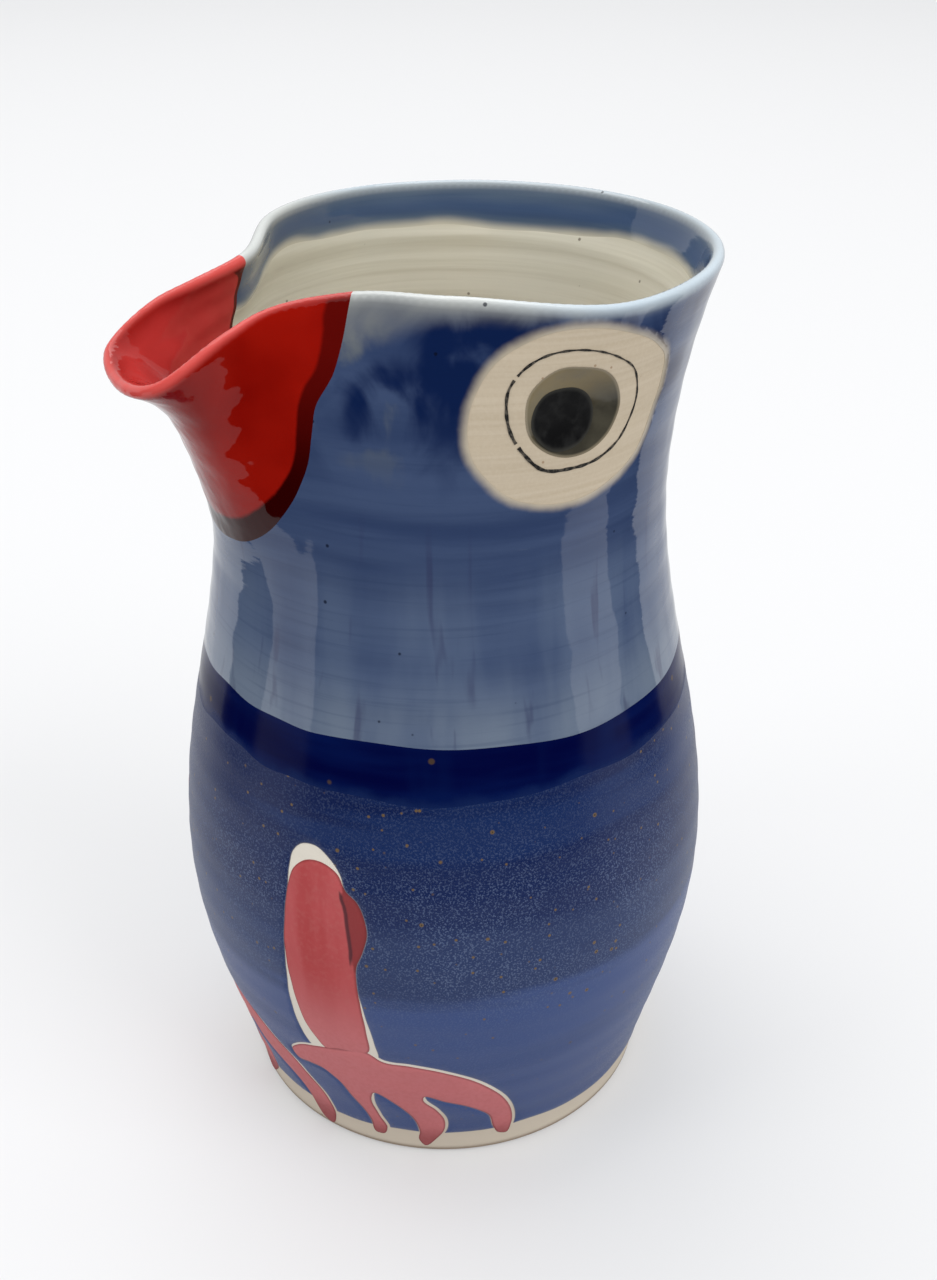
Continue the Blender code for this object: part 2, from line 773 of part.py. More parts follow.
def make_neck_glaze(material):
    """From the overlap up the neck, over the lip and a little way down inside, open at the eyes."""
    neck = spread(OVERLAP_TOP + 0.5 * CLEARANCE, BEAK_BOTTOM, LOWER_NECK_STEPS)
    rows = turned_rows(outside, neck) + head_rows(outside, HEAD_CLIMBS[1:] + BAND_CLIMBS[1:])
    rows += lip_rows() + head_rows(inside, BAND_CLIMBS[::-1])
    coat = make_coat("neck_glaze", rows, body_sheet, material)
    patch = Flat(eye_patch_outline(), PATCH_STEP)
    for side, name in ((1.0, "left"), (-1.0, "right")):
        window = draped_object(name + "_eye_window", patch, eye_spot(side), level(-WINDOW_SINK),
                               level(WINDOW_REACH), None)
        cut(coat, window)


def make_overlap_glaze(material):
    heights = [OVERLAP_BOTTOM + 0.5 * CLEARANCE, OVERLAP_TOP - 0.5 * CLEARANCE]
    make_coat("overlap_glaze", turned_rows(outside, heights), body_sheet, material)


def make_belly_glaze(material, legs):
    """From the bare foot band to the overlap, left open round the legs and feet."""
    heights = spread(FOOT_BAND, OVERLAP_BOTTOM - 0.5 * CLEARANCE, BELLY_STEPS)
    coat = make_coat("belly_glaze", turned_rows(outside, heights), body_sheet, material)
    for leg in legs:
        flat = Flat(widened(leg.contour(), RESERVE), PATCH_STEP)
        window = draped_object(f"{leg.side}_leg_window", flat, leg_spot(leg.angle),
                               level(-WINDOW_SINK), level(WINDOW_REACH), None)
        cut(coat, window)
        for place, outline in zip(("rear", "front"), leg.gaps()):
            draped_object(f"{leg.side}_{place}_toe_gap_glaze", Flat(outline, PATCH_STEP),
                          leg_spot(leg.angle), level(CLEARANCE), level(CLEARANCE + COAT), material)


def make_beak_glaze(material):
    rows = beak_rows(outside) + lip_rows() + beak_rows(inside)[::-1]
    make_coat("beak_glaze", rows, beak_sheet, material)


def make_legs(material, legs):
    for leg in legs:
        for piece, outline in (("leg", leg.leg), ("foot", leg.foot)):
            draped_object(f"{leg.side}_{piece}", Flat(outline, PATCH_STEP), leg_spot(leg.angle),
                          level(CLEARANCE), level(CLEARANCE + PAINT), material)


def make_eye(side, name, eye_glaze, black, line):
    """Glaze pooled in the hollow, a black pupil low and forward on it, and the drawn ring."""
    spot = eye_spot(side)
    pool_radius = HOLLOW_RADIUS - CLEARANCE
    pool = Flat(oval(pool_radius, pool_radius, full_turn(EYE_SIDES)), HOLLOW_STEP)
    pool_low = CLEARANCE
    pool_high = pool_low + COAT
    pupil_low = pool_high + CLEARANCE
    draped_object(name + "_eye_glaze", pool, spot, lambda x, y: hollow_floor(x, y) + pool_low,
                  lambda x, y: hollow_floor(x, y) + pool_high, eye_glaze)
    disc = oval(PUPIL_RADIUS, PUPIL_RADIUS, full_turn(EYE_SIDES), -PUPIL_FORWARD, -PUPIL_DROP)
    draped_object(name + "_pupil", Flat(disc, HOLLOW_STEP), spot,
                  lambda x, y: hollow_floor(x, y) + pupil_low,
                  lambda x, y: hollow_floor(x, y) + pupil_low + PAINT, black)
    draped_object(name + "_eye_ring", ring_strip(), spot,
                  level(CLEARANCE), level(CLEARANCE + PAINT), line)


def main():
    for old in list(bpy.data.objects):
        bpy.data.objects.remove(old)
    clay = finish("clay")
    make_thrown_body(clay)
    make_beak_spout(clay)
    make_liner(finish("liner"))
    make_neck_glaze(finish("neck_blue"))
    make_overlap_glaze(finish("overlap_navy"))
    right_leg_angle = LEFT_LEG_ANGLE - FEET_SPACING / turned_radius(FEET_LEVEL)
    legs = (Leg("left", LEFT_LEG_ANGLE, 1.0, 0.0),
            Leg("right", right_leg_angle, RIGHT_TOE_STRETCH, RIGHT_TOE_DROP))
    make_belly_glaze(finish("belly_blue"), legs)
    make_beak_glaze(finish("beak_red"))
    make_legs(finish("leg_red"), legs)
    eye_finishes = [finish(name) for name in ("eye_olive", "pupil_black", "eye_line")]
    make_eye(1.0, "left", *eye_finishes)
    make_eye(-1.0, "right", *eye_finishes)


main()
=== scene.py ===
"""Looks of the bird jug: one flat map of the whole clay surface, with the fired coats laid on it.

Metres, in the part's own frame: +Z up, the beak along -Y and the bird's left side +X.
"""

import copy
import math

import bmesh
import bpy
import numpy as np
from mathutils import Matrix, Vector, kdtree
from mathutils.geometry import delaunay_2d_cdt


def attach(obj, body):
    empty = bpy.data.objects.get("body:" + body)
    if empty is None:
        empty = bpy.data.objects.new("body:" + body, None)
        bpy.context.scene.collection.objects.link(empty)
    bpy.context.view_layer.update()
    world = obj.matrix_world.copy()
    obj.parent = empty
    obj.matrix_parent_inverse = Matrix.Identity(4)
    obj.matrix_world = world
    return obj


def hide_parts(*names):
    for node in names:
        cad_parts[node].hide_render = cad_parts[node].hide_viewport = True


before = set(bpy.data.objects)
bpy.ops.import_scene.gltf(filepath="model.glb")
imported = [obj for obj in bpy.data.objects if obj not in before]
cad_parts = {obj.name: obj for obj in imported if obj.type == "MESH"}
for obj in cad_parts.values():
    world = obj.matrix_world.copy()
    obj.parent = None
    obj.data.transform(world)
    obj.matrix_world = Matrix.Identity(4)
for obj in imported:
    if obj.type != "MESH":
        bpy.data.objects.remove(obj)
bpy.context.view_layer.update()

# Thrown wall, as in the part's source
RIM_HEIGHT = 0.2005
BASE_RADIUS = 0.0484
BELLY_RADIUS = 0.0603
BELLY_HEIGHT = 0.064
WAIST_RADIUS = 0.0476
WAIST_HEIGHT = 0.155
WALL = 0.0048
LIP = 0.0020
FLOOR = 0.007
FLOOR_FILLET = 0.012
FOOT_CHAMFER = 0.0008
FOOT_SWELL = 1.35
RIM_FLARE = 2.1

# Rim and beak outline, seen from above: reach is forward of the jug's axis
RIM_RADIUS = 0.0509
RIM_SETBACK = 0.0050
BEAK_REACH = 0.0665
BEAK_NOSE = 0.0503
BEAK_HALF_WIDTH = 0.0165
NOSE_ROUND = 0.81
THROAT_REACH = 0.0433
THROAT_HALF_WIDTH = 0.0160
CHEEK_REACH = 0.0307
CHEEK_HALF_WIDTH = 0.0204
SHOULDER_REACH = 0.0175
SHOULDER_HALF_WIDTH = 0.0374
CHEEK_KNOT = 4
RIM_ARC_START = math.radians(95.0)
RIM_ARC_KNOTS = 4

# Beak, seen from the side
BEAK_DEPTH = 0.0505
BEAK_BOTTOM = RIM_HEIGHT - BEAK_DEPTH
BEAK_DROP = 0.0167
BEAK_DIP = 1.91
CHEEK_RISE = 0.0005
SHOULDER_RISE = 0.0022
LEAN_DEPTH = 0.0625
LEAN_BOTTOM = RIM_HEIGHT - LEAN_DEPTH
BEAK_LEAN = 1.5
BEAK_CURL = 0.38
CURL_SHARPNESS = 12.0
CHEEK_ANGLE = math.radians(35.0)
FADE_START = 0.6
FADE_SPAN = 0.9

# Unevenness of the hand work: the lip's right side sits further forward and lower
RIGHT_PUSH = 0.0025
RIGHT_SINK = 0.0021
RIGHT_SPAN = 0.6

# The map: x runs round from the beak, y along the profile from under the base to the floor inside
MAP_WIDTH = 0.17
LIP_END = RIM_HEIGHT + 0.5 * math.pi * LIP
LIP_MIDDLE = 0.5 * (RIM_HEIGHT + LIP_END)
INNER_WAIST = LIP_END + BEAK_DEPTH
INNER_FOOT = INNER_WAIST + BEAK_BOTTOM - FLOOR - FLOOR_FILLET
FILLET_END = INNER_FOOT + 0.5 * math.pi * FLOOR_FILLET
MAP_TOP = FILLET_END + 0.036
MAP_BOTTOM = -BASE_RADIUS

# Meshes: spans of the map's rows are from, to and step; room is kept beside drawn lines
COLUMN_STEP = 0.0018
HEAD_ROWS = 0.185
BAND_ROWS = LIP_END + 0.014
ROW_SPANS = (
    (MAP_BOTTOM, 0.0, 0.008), (0.0, FOOT_CHAMFER, FOOT_CHAMFER), (FOOT_CHAMFER, HEAD_ROWS, COLUMN_STEP),
    (HEAD_ROWS, RIM_HEIGHT, 0.001), (RIM_HEIGHT, LIP_END, 0.00035), (LIP_END, BAND_ROWS, 0.001),
    (BAND_ROWS, INNER_FOOT, 0.0022), (INNER_FOOT, FILLET_END, 0.002), (FILLET_END, MAP_TOP, 0.006),
)
ROOM = 0.45 * COLUMN_STEP
EDGE_ROWS = (0.0003, 0.0008)
EDGE_ROW_ROOM = 0.8
EDGE_ROW_BEND = 0.9
MAP_EDGE = 1e-6
MAP_EDGE_ROOM = 1e-5
MERGE = 1e-8
MAP_DIGITS = 7
NUDGE = 1e-4
ALONG_NUDGE = 0.2 * NUDGE
TINY = 1e-9
SEARCH_STEPS = 12
SMOOTH_ANGLE = math.radians(50.0)

# Throwing marks
OUTER_RING_PITCH = 0.0083
OUTER_RING_HEIGHT = 0.00005
INNER_RING_PITCH = 0.0062
INNER_RING_HEIGHT = 0.00016
RING_FADE = 0.008
FOOT_RING_FADE = 0.01

# Coats; the waves in their borders are count, height and turn
GLAZE = 0.00030
PAINT = 0.00022
THIN_EDGE = 0.00006
EDGE_ROUND = 0.0009
SINK = 0.0002
FOOT_BAND = 0.0076
FOOT_WAVES = ((5, 0.00035, 0.4), (11, 0.00025, 2.0), (23, 0.00012, 1.1))
OVERLAP_BOTTOM = 0.1055
BOTTOM_WAVES = ((3, 0.0007, 1.0), (8, 0.0004, 0.3), (17, 0.0002, 2.2))
OVERLAP_TOP = 0.1162
TOP_WAVES = ((2, 0.0007, 0.5), (5, 0.0004, 1.7), (13, 0.0002, 0.2))
BAND_BOTTOM = LIP_MIDDLE + 0.0098
BAND_WAVES = ((3, 0.0008, 2.4), (7, 0.0004, 0.8), (16, 0.0002, 1.9))
BAND_DIP = 0.0040
BAND_DIP_PLACE = 0.33
BAND_DIP_WIDTH = 0.06

# The beak's left seam: degrees round from the beak, and height in millimetres
SEAM = (
    (1.6, 149.9), (12.5, 151.9), (22.6, 158.6), (28.0, 165.8), (30.4, 171.5), (31.1, 176.5),
    (31.6, 181.2), (35.4, 187.3), (36.8, 191.5), (37.4, 198.6),
)
FAR_SEAM = 0.93
SEAM_POINTS = 90
SEAM_LIP_POINTS = 12
STRIP_WIDTH = 0.0044
STRIP_BOTTOM = 0.0078
STRIP_INSIDE = 0.0012
STRIP_EDGE = (1.32, 1.06)
STRIP_SPREAD = (BEAK_BOTTOM + 0.022, BEAK_BOTTOM + 0.006)
BEAK_INSIDE = (LIP_MIDDLE, LIP_END + 0.003)

# The grey wash under the lip (share of the way round, millimetres deep) and the lip's pale crest, where the
# glaze breaks thin, with a painted highlight along it
WASH_DEPTH = (
    (0.0, 8.0), (0.317, 7.6), (0.335, 6.4), (0.40, 5.2), (0.44, 4.8), (0.48, 4.4), (0.52, 2.2), (1.0, 1.4),
)
WASH_THIN = (2.2, 0.5)
WASH_END = (0.5, 3.0)
CREST_SHARE = 0.92
CREST_WIDTH = 1.5
CREST_DROP = 0.2
LIP_TURN = (-0.5, 1.5)
BACK_START = (0.42, 0.58)

# Brush dabs: share of the way round, then millimetres up the wall, half width and half height
DAB_PEAK = 1.3
DAB_WEIGHT = 0.25
PALE_WEIGHT = -0.20
DARK_DABS = (
    (0.424, 188.5, 5.0, 5.0), (0.322, 181.5, 2.5, 6.0), (0.464, 196.2, 6.0, 3.0),
    (0.355, 187.8, 5.5, 3.0), (0.415, 194.5, 6.0, 3.5), (0.620, 192.5, 6.0, 4.0), (0.700, 184.0, 8.0, 4.0),
    (0.820, 190.0, 8.0, 5.0), (0.930, 182.0, 8.0, 4.0),
)
PALE_DABS = (
    (0.335, 196.0, 3.0, 2.5), (0.341, 173.0, 7.0, 2.5), (0.312, 193.0, 3.0, 4.0),
    (0.760, 192.0, 7.0, 3.0), (0.880, 176.0, 9.0, 3.0),
)

# Eyes: outlines are in millimetres along the wall toward the back, and upward, from the eye's middle
EYE_ANGLE = math.radians(91.0)
EYE_HEIGHT = RIM_HEIGHT - 0.0190
HOLLOW_DEPTH = 0.0027
HOLLOW_SHARPNESS = 2.6
LOOP_STEP = 0.5
EYE_STEP = 0.4
HOLLOW_STEP = 0.3
# Painted shade in the eye hollow: where its grey starts and where it is full, in millimetres, and its tilt
POOL_SHADE = (6.0, -3.0)
POOL_TILT = 0.35
EYE_PATCH = (
    (-18.9, -3.9), (-18.7, 1.1), (-16.9, 5.8), (-13.8, 10.2), (-8.5, 13.7), (-2.9, 15.7), (3.4, 15.8),
    (10.3, 13.6), (17.6, 9.5), (21.4, 5.6), (21.8, 0.9), (20.1, -6.2), (17.4, -11.7), (10.8, -15.5),
    (3.8, -17.4), (-4.2, -17.2), (-10.9, -15.0), (-15.2, -11.3), (-18.0, -7.4),
)
HOLLOW = (
    (1.3, 8.8), (5.6, 7.5), (9.0, 3.9), (10.2, -0.9), (8.9, -4.9), (5.2, -7.8), (-0.3, -8.5),
    (-4.7, -6.8), (-7.7, -3.7), (-8.6, 0.5), (-8.1, 4.0), (-5.6, 7.2), (-2.6, 8.9),
)
PUPIL = (
    (-7.4, -0.8), (-6.6, 1.7), (-4.6, 3.7), (-1.4, 4.3), (1.8, 3.8), (4.4, 1.9), (5.6, -0.9),
    (5.2, -4.2), (3.0, -6.4), (-0.4, -7.3), (-3.4, -6.8), (-6.0, -4.7), (-7.2, -2.6),
)
RING = (
    (-0.6, 12.1), (3.9, 11.4), (8.5, 9.3), (12.7, 5.8), (14.3, 1.6), (14.1, -2.8), (11.8, -7.1),
    (6.7, -10.2), (0.7, -10.9), (-5.2, -10.1), (-8.8, -6.6), (-11.1, -2.8), (-12.0, 1.9),
    (-11.6, 5.3), (-9.5, 8.5), (-5.8, 11.1),
)
RING_POINTS = 260
RING_LIFT = 2.0 * THIN_EDGE
LINE_HALF = 0.23
LINE_SWELL = 0.09
LINE_SWELL_TURN = math.radians(235.0)
LINE_WOBBLE = 0.05
LINE_WOBBLES = 23.0
GAP_WAVES = (17.0, 29.0)
GAP_SHIFT = 1.0
GAP_LEVEL = 2.0
GAP_SHARE = 0.25

# Legs and feet: outlines are in millimetres along the wall toward the back from the leg's line, and height
LEFT_LEG_ANGLE = math.radians(36.0)
FEET_SPACING = 0.0592
FEET_LEVEL = 0.022
RIGHT_TOE_STRETCH = 1.30
RIGHT_TOE_DROP = 4.0
LONGEST_TOE = 37.8
LEG_RED = (
    (-2.9, 88.8), (0.5, 89.1), (4.0, 87.3), (5.9, 84.0), (8.3, 81.9), (10.0, 78.3), (10.7, 75.0),
    (9.7, 69.6), (8.2, 65.2), (8.1, 60.0), (8.4, 54.3), (8.8, 45.9), (8.1, 38.2), (1.0, 36.6),
    (-2.6, 35.5), (-4.6, 38.1), (-6.8, 43.5), (-8.1, 51.6), (-8.9, 59.4), (-9.2, 66.6), (-8.6, 74.7),
    (-7.7, 81.6), (-6.0, 86.3),
)
LEG_WINDOW = (
    (-4.3, 92.1), (-1.1, 92.5), (2.1, 90.5), (4.6, 87.3), (5.9, 84.0), (8.3, 81.9), (10.0, 78.3),
    (10.7, 75.0), (9.7, 69.6), (8.2, 65.2), (8.1, 60.0), (9.2, 51.0), (10.3, 41.7), (10.4, 36.8),
    (0.0, 33.0), (-5.8, 33.6), (-7.6, 36.3), (-9.2, 43.2), (-9.7, 50.7), (-9.4, 58.0), (-9.2, 66.6),
    (-8.6, 74.7), (-7.8, 81.6), (-7.4, 86.0), (-6.6, 89.6),
)
FOOT_RED = (
    (-14.0, 27.2), (-12.0, 30.0), (-9.0, 32.5), (-6.0, 34.0), (1.0, 36.6), (8.1, 38.0), (10.9, 35.9),
    (17.3, 35.4), (23.8, 33.8), (30.0, 30.1), (35.0, 24.0), (37.8, 14.8), (37.3, 8.5), (35.6, 4.8),
    (33.9, 5.6), (33.1, 8.0), (32.3, 14.2), (28.6, 18.4), (23.3, 21.1), (18.8, 23.0), (18.4, 21.6),
    (20.8, 17.6), (22.1, 13.5), (21.6, 9.0), (19.6, 5.4), (16.4, 2.2), (15.3, 4.2), (15.8, 7.8),
    (15.1, 12.8), (11.5, 18.7), (6.8, 21.6), (6.0, 19.6), (6.7, 12.1), (8.0, 7.4), (6.6, 4.4),
    (5.2, 4.4), (4.3, 9.6), (0.8, 17.7), (-2.1, 23.0), (-5.4, 25.6), (-9.0, 25.4), (-12.8, 24.6),
)
FOOT_MARGIN = 0.45
FOOT_SHIFT = (0.30, 0.45)
REAR_GAP = ((19.0, 25.0), (33.5, 14.0), (34.0, 4.0), (18.0, 4.0), (21.0, 14.0))
FRONT_GAP = ((7.0, 24.0), (16.0, 13.0), (16.0, 4.0), (6.0, 4.0), (7.0, 13.0))
BUMP = (
    (5.4, 85.0), (9.0, 83.0), (11.4, 78.0), (11.6, 74.0), (10.4, 68.0), (7.9, 63.4), (7.0, 70.8), (6.2, 78.0),
)
BUMP_REACH = 3.0
TOE_TIP = (0.012, 0.004)
TOE_THICK = 0.5

# Colours
CLAY_GROOVE = (0.525, 0.435, 0.315)
CLAY_RIDGE = (0.575, 0.485, 0.365)
CLAY_SAND = (0.62, 0.54, 0.42)
CLAY_PAINTED_BOUNCE_LIGHT = (0.67, 0.585, 0.475)
CLAY_RESERVE = (0.82, 0.77, 0.68)
CLAY_RUST = (0.24, 0.12, 0.05)
CLAY_PAINTED_CONTACT_SHADE = (0.24, 0.14, 0.075)
LINER_GROOVE = (0.56, 0.525, 0.405)
LINER_RIDGE = (0.66, 0.625, 0.505)
LINER_CLOUD = (0.60, 0.585, 0.485)
LINER_SPECK = (0.12, 0.09, 0.06)
NECK_DARK = (0.031, 0.052, 0.123)
NECK_PALE = (0.054, 0.083, 0.168)
NECK_GREY = (0.095, 0.131, 0.213)
NECK_THIN = (0.148, 0.186, 0.252)
NECK_STROKE = (0.020, 0.038, 0.098)
NECK_DRIP = (0.030, 0.030, 0.085)
NECK_BARE = (0.51, 0.44, 0.335)
NECK_SPECK = (0.004, 0.006, 0.018)
BAND_DARK = (0.058, 0.094, 0.160)
BAND_PALE = (0.108, 0.148, 0.200)
BAND_POOL = (0.034, 0.068, 0.160)
BAND_CREAM = (0.58, 0.545, 0.43)
DAB_DARK = (0.0045, 0.0140, 0.064)
DAB_PALE = (0.10, 0.12, 0.148)
WASH_GREY = (0.225, 0.230, 0.212)
CREST_PALE_AND_HIGHLIGHT_FRONT = (0.66, 0.68, 0.66)
CREST_PALE_AND_HIGHLIGHT_BACK = (0.54, 0.63, 0.70)
OVERLAP_DARK = (0.0004, 0.0014, 0.036)
OVERLAP_PALE = (0.0014, 0.0072, 0.066)
OVERLAP_RUN = (0.0018, 0.0090, 0.066)
OVERLAP_EDGE = (0.0045, 0.0150, 0.078)
OVERLAP_SPECK = (0.09, 0.055, 0.02)
BELLY_SHEEN = (0.72, 0.80, 1.0)
BELLY_TOP = (0.0006, 0.0090, 0.068)
BELLY_HIGH = (0.0010, 0.0120, 0.078)
BELLY_MIDDLE = (0.0130, 0.0300, 0.106)
BELLY_LOW = (0.0340, 0.0660, 0.200)
BELLY_STREAK = (0.0100, 0.0360, 0.140)
BELLY_FROST = (0.108, 0.150, 0.265)
BELLY_GOLD = (0.160, 0.100, 0.038)
BELLY_PIT = (0.010, 0.008, 0.010)
BELLY_BARE = (0.30, 0.28, 0.26)
BEAK_DARK = (0.205, 0.0025, 0.0010)
BEAK_RED = (0.290, 0.0060, 0.0025)
BEAK_STREAK = (0.330, 0.0110, 0.0060)
BEAK_INNER_THIN_AND_HIGHLIGHT = (0.540, 0.0450, 0.0410)
BEAK_RIM_THIN_AND_HIGHLIGHT = (0.700, 0.0980, 0.0860)
STRIP_DARK = (0.026, 0.0004, 0.0004)
STRIP_RED = (0.100, 0.0026, 0.0018)
SLIP_DARK = (0.425, 0.052, 0.054)
SLIP_PALE = (0.500, 0.092, 0.096)
SLIP_LOW = (0.61, 0.205, 0.215)
SLIP_GRAIN = (0.50, 0.15, 0.14)
SLIP_THICK = (0.16, 0.012, 0.014)
SLIP_KNOB = (0.17, 0.016, 0.018)
SLIP_LINE = (0.030, 0.012, 0.020)
SLIP_EDGE = (0.16, 0.028, 0.030)
EYE_OLIVE = (0.185, 0.138, 0.060)
EYE_PAINTED_SHADE = (0.042, 0.038, 0.028)
EYE_CLOUD = (0.11, 0.10, 0.07)
EYE_EDGE = (0.30, 0.25, 0.17)
PUPIL_BLACK = (0.0045, 0.0045, 0.005)
PUPIL_DUST = (0.014, 0.014, 0.014)
PUPIL_EDGE = (0.05, 0.048, 0.04)
LINE_BLACK = (0.012, 0.011, 0.010)
LINE_DUST = (0.10, 0.085, 0.065)

# Heights at which a colour starts and at which it is full
BOUNCE_LIGHT_RANGE = (0.030, 0.010)
RESERVE_TOP = (0.100, 0.094)
RESERVE_BOTTOM = (0.012, 0.026)
CONTACT_SHADE_RANGE = (0.0020, 0.0007)
GREY_RANGE = (0.158, 0.140)
THIN_RANGE = (0.134, 0.118)
DRIP_RANGE = (0.165, 0.150)
HEAD_RANGE = (0.164, 0.184)
BELLY_HIGH_RANGE = (0.116, 0.100)
BELLY_MIDDLE_RANGE = (0.092, 0.082)
BELLY_LOW_RANGE = (0.074, 0.068)
FROST_BOTTOM = (0.064, 0.080)
FROST_TOP = (0.100, 0.078)
GOLD_BOTTOM = (0.030, 0.055)
STRIP_RED_RANGE = (0.165, 0.192)
SLIP_LOW_RANGE = (0.064, 0.036)

# How far the brushed bands shift the belly's heights
BELLY_BAND_RISE = 0.030

# Distances from an edge, in millimetres, at which a colour starts and at which it is full
POOL_START = (1.5, 3.5)
POOL_END = (8.0, 4.0)
CREAM_EDGE = (3.6, 0.9)
NECK_EDGE = (2.7, 0.2)
OVERLAP_FADE = (4.6, 1.6)
BELLY_EDGE = (0.30, 0.05)
STRIP_CLEAR = (1.0, 2.2)
BEAK_LIP_EDGE = (2.0, 0.4)
KNOB_EDGE = (-0.1, 0.5)
KNOB_LINE = (0.55, 0.15)
KNOB_LINE_CLEAR = (0.6, 1.4)
LEG_EDGE = (0.55, 0.05)
POOL_EDGE = (0.6, 0.1)
PUPIL_FADE = (0.9, 0.0)

# The mix node's sockets for colours
MIX_SHARE = 0
MIX_FIRST = 6
MIX_SECOND = 7
MIX_RESULT = 2

# Camera, as fitted to the photo
CAMERA_PLACE = (0.26059, -0.13856, 0.27960)
CAMERA_FORWARD = (-0.7581, 0.4229, -0.4964)
CAMERA_ROLL = math.radians(-0.20)
FOCAL_PIXELS = 1500.09
IMAGE_HEIGHT = 1280.0
SENSOR = 36.0

# Floor and lights
FLOOR_SIZE = 12.0
FLOOR_COLOUR = (0.50, 0.50, 0.505)
FLOOR_ROUGHNESS = 0.9
FLOOR_GLOW = 0.29
FLOOR_MIRRORED = 0.35
WHITE = (1.0, 1.0, 1.0)
BLACK = (0.0, 0.0, 0.0)
WORLD_COLOUR = (0.97, 0.985, 1.0)
WORLD_LEVEL = 0.78
LIGHTS = (
    ("key", (-1.0, 0.0, 2.6), 2.2, 34.0),
    ("left", (-0.10, -1.15, 0.85), 0.45, 2.6),
    ("right", (1.40, 0.70, 1.50), 1.2, 17.0),
)
LIGHT_TARGET = (0.0, 0.0, 0.10)
MIRRORED_LIGHT = "key"

# Dark sectors and a dark wall that only reflections see, in degrees round from their middle
FLAG_MIDDLE = math.radians(-29.0)
FLAG_NEAR = 0.275
FLAG_FAR = 1.6
FLAG_HEIGHT = 2.0
FLAG_LIFT = 0.001
FLAG_FLOORS = ((-58.0, 60.0), (-108.0, -83.0), (85.0, 108.0))
FLAG_WALL = (-98.0, 104.0)
FLAG_STEPS = 24

MM = 0.001


def smoothstep(low, high, value):
    t = np.clip((value - low) / (high - low), 0.0, 1.0)
    return t * t * (3.0 - 2.0 * t)


def unit(vectors):
    return vectors / np.linalg.norm(vectors, axis=-1, keepdims=True)


def square_to(along):
    """Unit directions a quarter turn to the left of flat directions."""
    return unit(np.stack((-along[:, 1], along[:, 0]), axis=-1))


def loop_steps(loop):
    """The direction of a closed line at each of its points."""
    return np.roll(loop, -1, axis=0) - np.roll(loop, 1, axis=0)


class Curve:
    """A smooth curve through points; the first and the last are only guides for its ends."""

    def __init__(self, points):
        self.points = np.array(points, float)
        steps = np.linalg.norm(np.diff(self.points, axis=0), axis=1)
        self.times = np.concatenate(([0.0], np.cumsum(steps)))
        into = np.diff(self.points, axis=0) / steps[:, None]
        before = steps[:-1, None]
        after = steps[1:, None]
        self.slopes = (into[:-1] * after + into[1:] * before) / (before + after)
        self.start = self.times[1]
        self.length = self.times[-2] - self.start

    def at(self, share):
        time = self.start + np.asarray(share, float) * self.length
        i = np.clip(np.searchsorted(self.times, time) - 1, 1, len(self.points) - 3)
        span = (self.times[i + 1] - self.times[i])[..., None]
        t = (time - self.times[i])[..., None] / span
        rise = t * t * (3.0 - 2.0 * t)
        blend = self.points[i] * (1.0 - rise) + self.points[i + 1] * rise
        leave = self.slopes[i - 1] * (t * (1.0 - t) ** 2 * span)
        arrive = self.slopes[i] * (t * t * (1.0 - t) * span)
        return blend + leave - arrive


def closed_curve(points):
    points = list(points)
    return Curve(points[-1:] + points + points[:2])


def smooth_loop(points, step):
    """Even samples round a closed outline."""
    curve = closed_curve(points)
    count = max(int(curve.length / step), len(points))
    return curve.at(np.arange(count) / count)


def turned_radius(z):
    """Outer radius of the thrown wall: a swelling belly that narrows to the waist."""
    z = np.asarray(z, float)
    swell = np.sin(0.5 * np.pi * np.clip(z / BELLY_HEIGHT, 0.0, 1.0)) ** FOOT_SWELL
    fall = np.clip((z - BELLY_HEIGHT) / (WAIST_HEIGHT - BELLY_HEIGHT), 0.0, 1.0)
    above = WAIST_RADIUS + (BELLY_RADIUS - WAIST_RADIUS) * 0.5 * (1.0 + np.cos(np.pi * fall))
    return np.where(z < BELLY_HEIGHT, BASE_RADIUS + (BELLY_RADIUS - BASE_RADIUS) * swell, above)


def lip_height(reach):
    along = max(reach - CHEEK_REACH, 0.0) / (BEAK_REACH - CHEEK_REACH)
    return RIM_HEIGHT - BEAK_DROP * along ** BEAK_DIP


def lip_curve():
    """Half of the lip's crest, from the beak's tip round the bird's left side to the back."""
    nose = BEAK_NOSE + NOSE_ROUND * (BEAK_REACH - BEAK_NOSE)
    plan = [
        (0.0, BEAK_REACH, 0.0),
        (NOSE_ROUND * BEAK_HALF_WIDTH, nose, 0.0),
        (BEAK_HALF_WIDTH, BEAK_NOSE, 0.0),
        (THROAT_HALF_WIDTH, THROAT_REACH, 0.0),
        (CHEEK_HALF_WIDTH, CHEEK_REACH, CHEEK_RISE),
        (SHOULDER_HALF_WIDTH, SHOULDER_REACH, SHOULDER_RISE),
    ]
    for turn in np.linspace(RIM_ARC_START, math.pi, RIM_ARC_KNOTS):
        plan.append((RIM_RADIUS * math.sin(turn), RIM_RADIUS * math.cos(turn) - RIM_SETBACK, 0.0))
    knots = [(aside, -reach, lip_height(reach) + rise) for aside, reach, rise in plan]
    first = (-knots[1][0],) + knots[1][1:]
    last = (-knots[-2][0],) + knots[-2][1:]
    return Curve([first] + knots + [last])


LIP_CURVE = lip_curve()
CHEEK = (LIP_CURVE.times[CHEEK_KNOT + 1] - LIP_CURVE.start) / LIP_CURVE.length


def neck_angle(share):
    """Direction on the round neck below a point of the lip."""
    return np.interp(share, (0.0, CHEEK, 1.0), (0.0, CHEEK_ANGLE, math.pi))


def share_at(angle):
    return np.interp(angle, (0.0, CHEEK_ANGLE, math.pi), (0.0, CHEEK, 1.0))


def beak_weight(share):
    return 1.0 - smoothstep(FADE_START, FADE_START + FADE_SPAN, share / CHEEK)


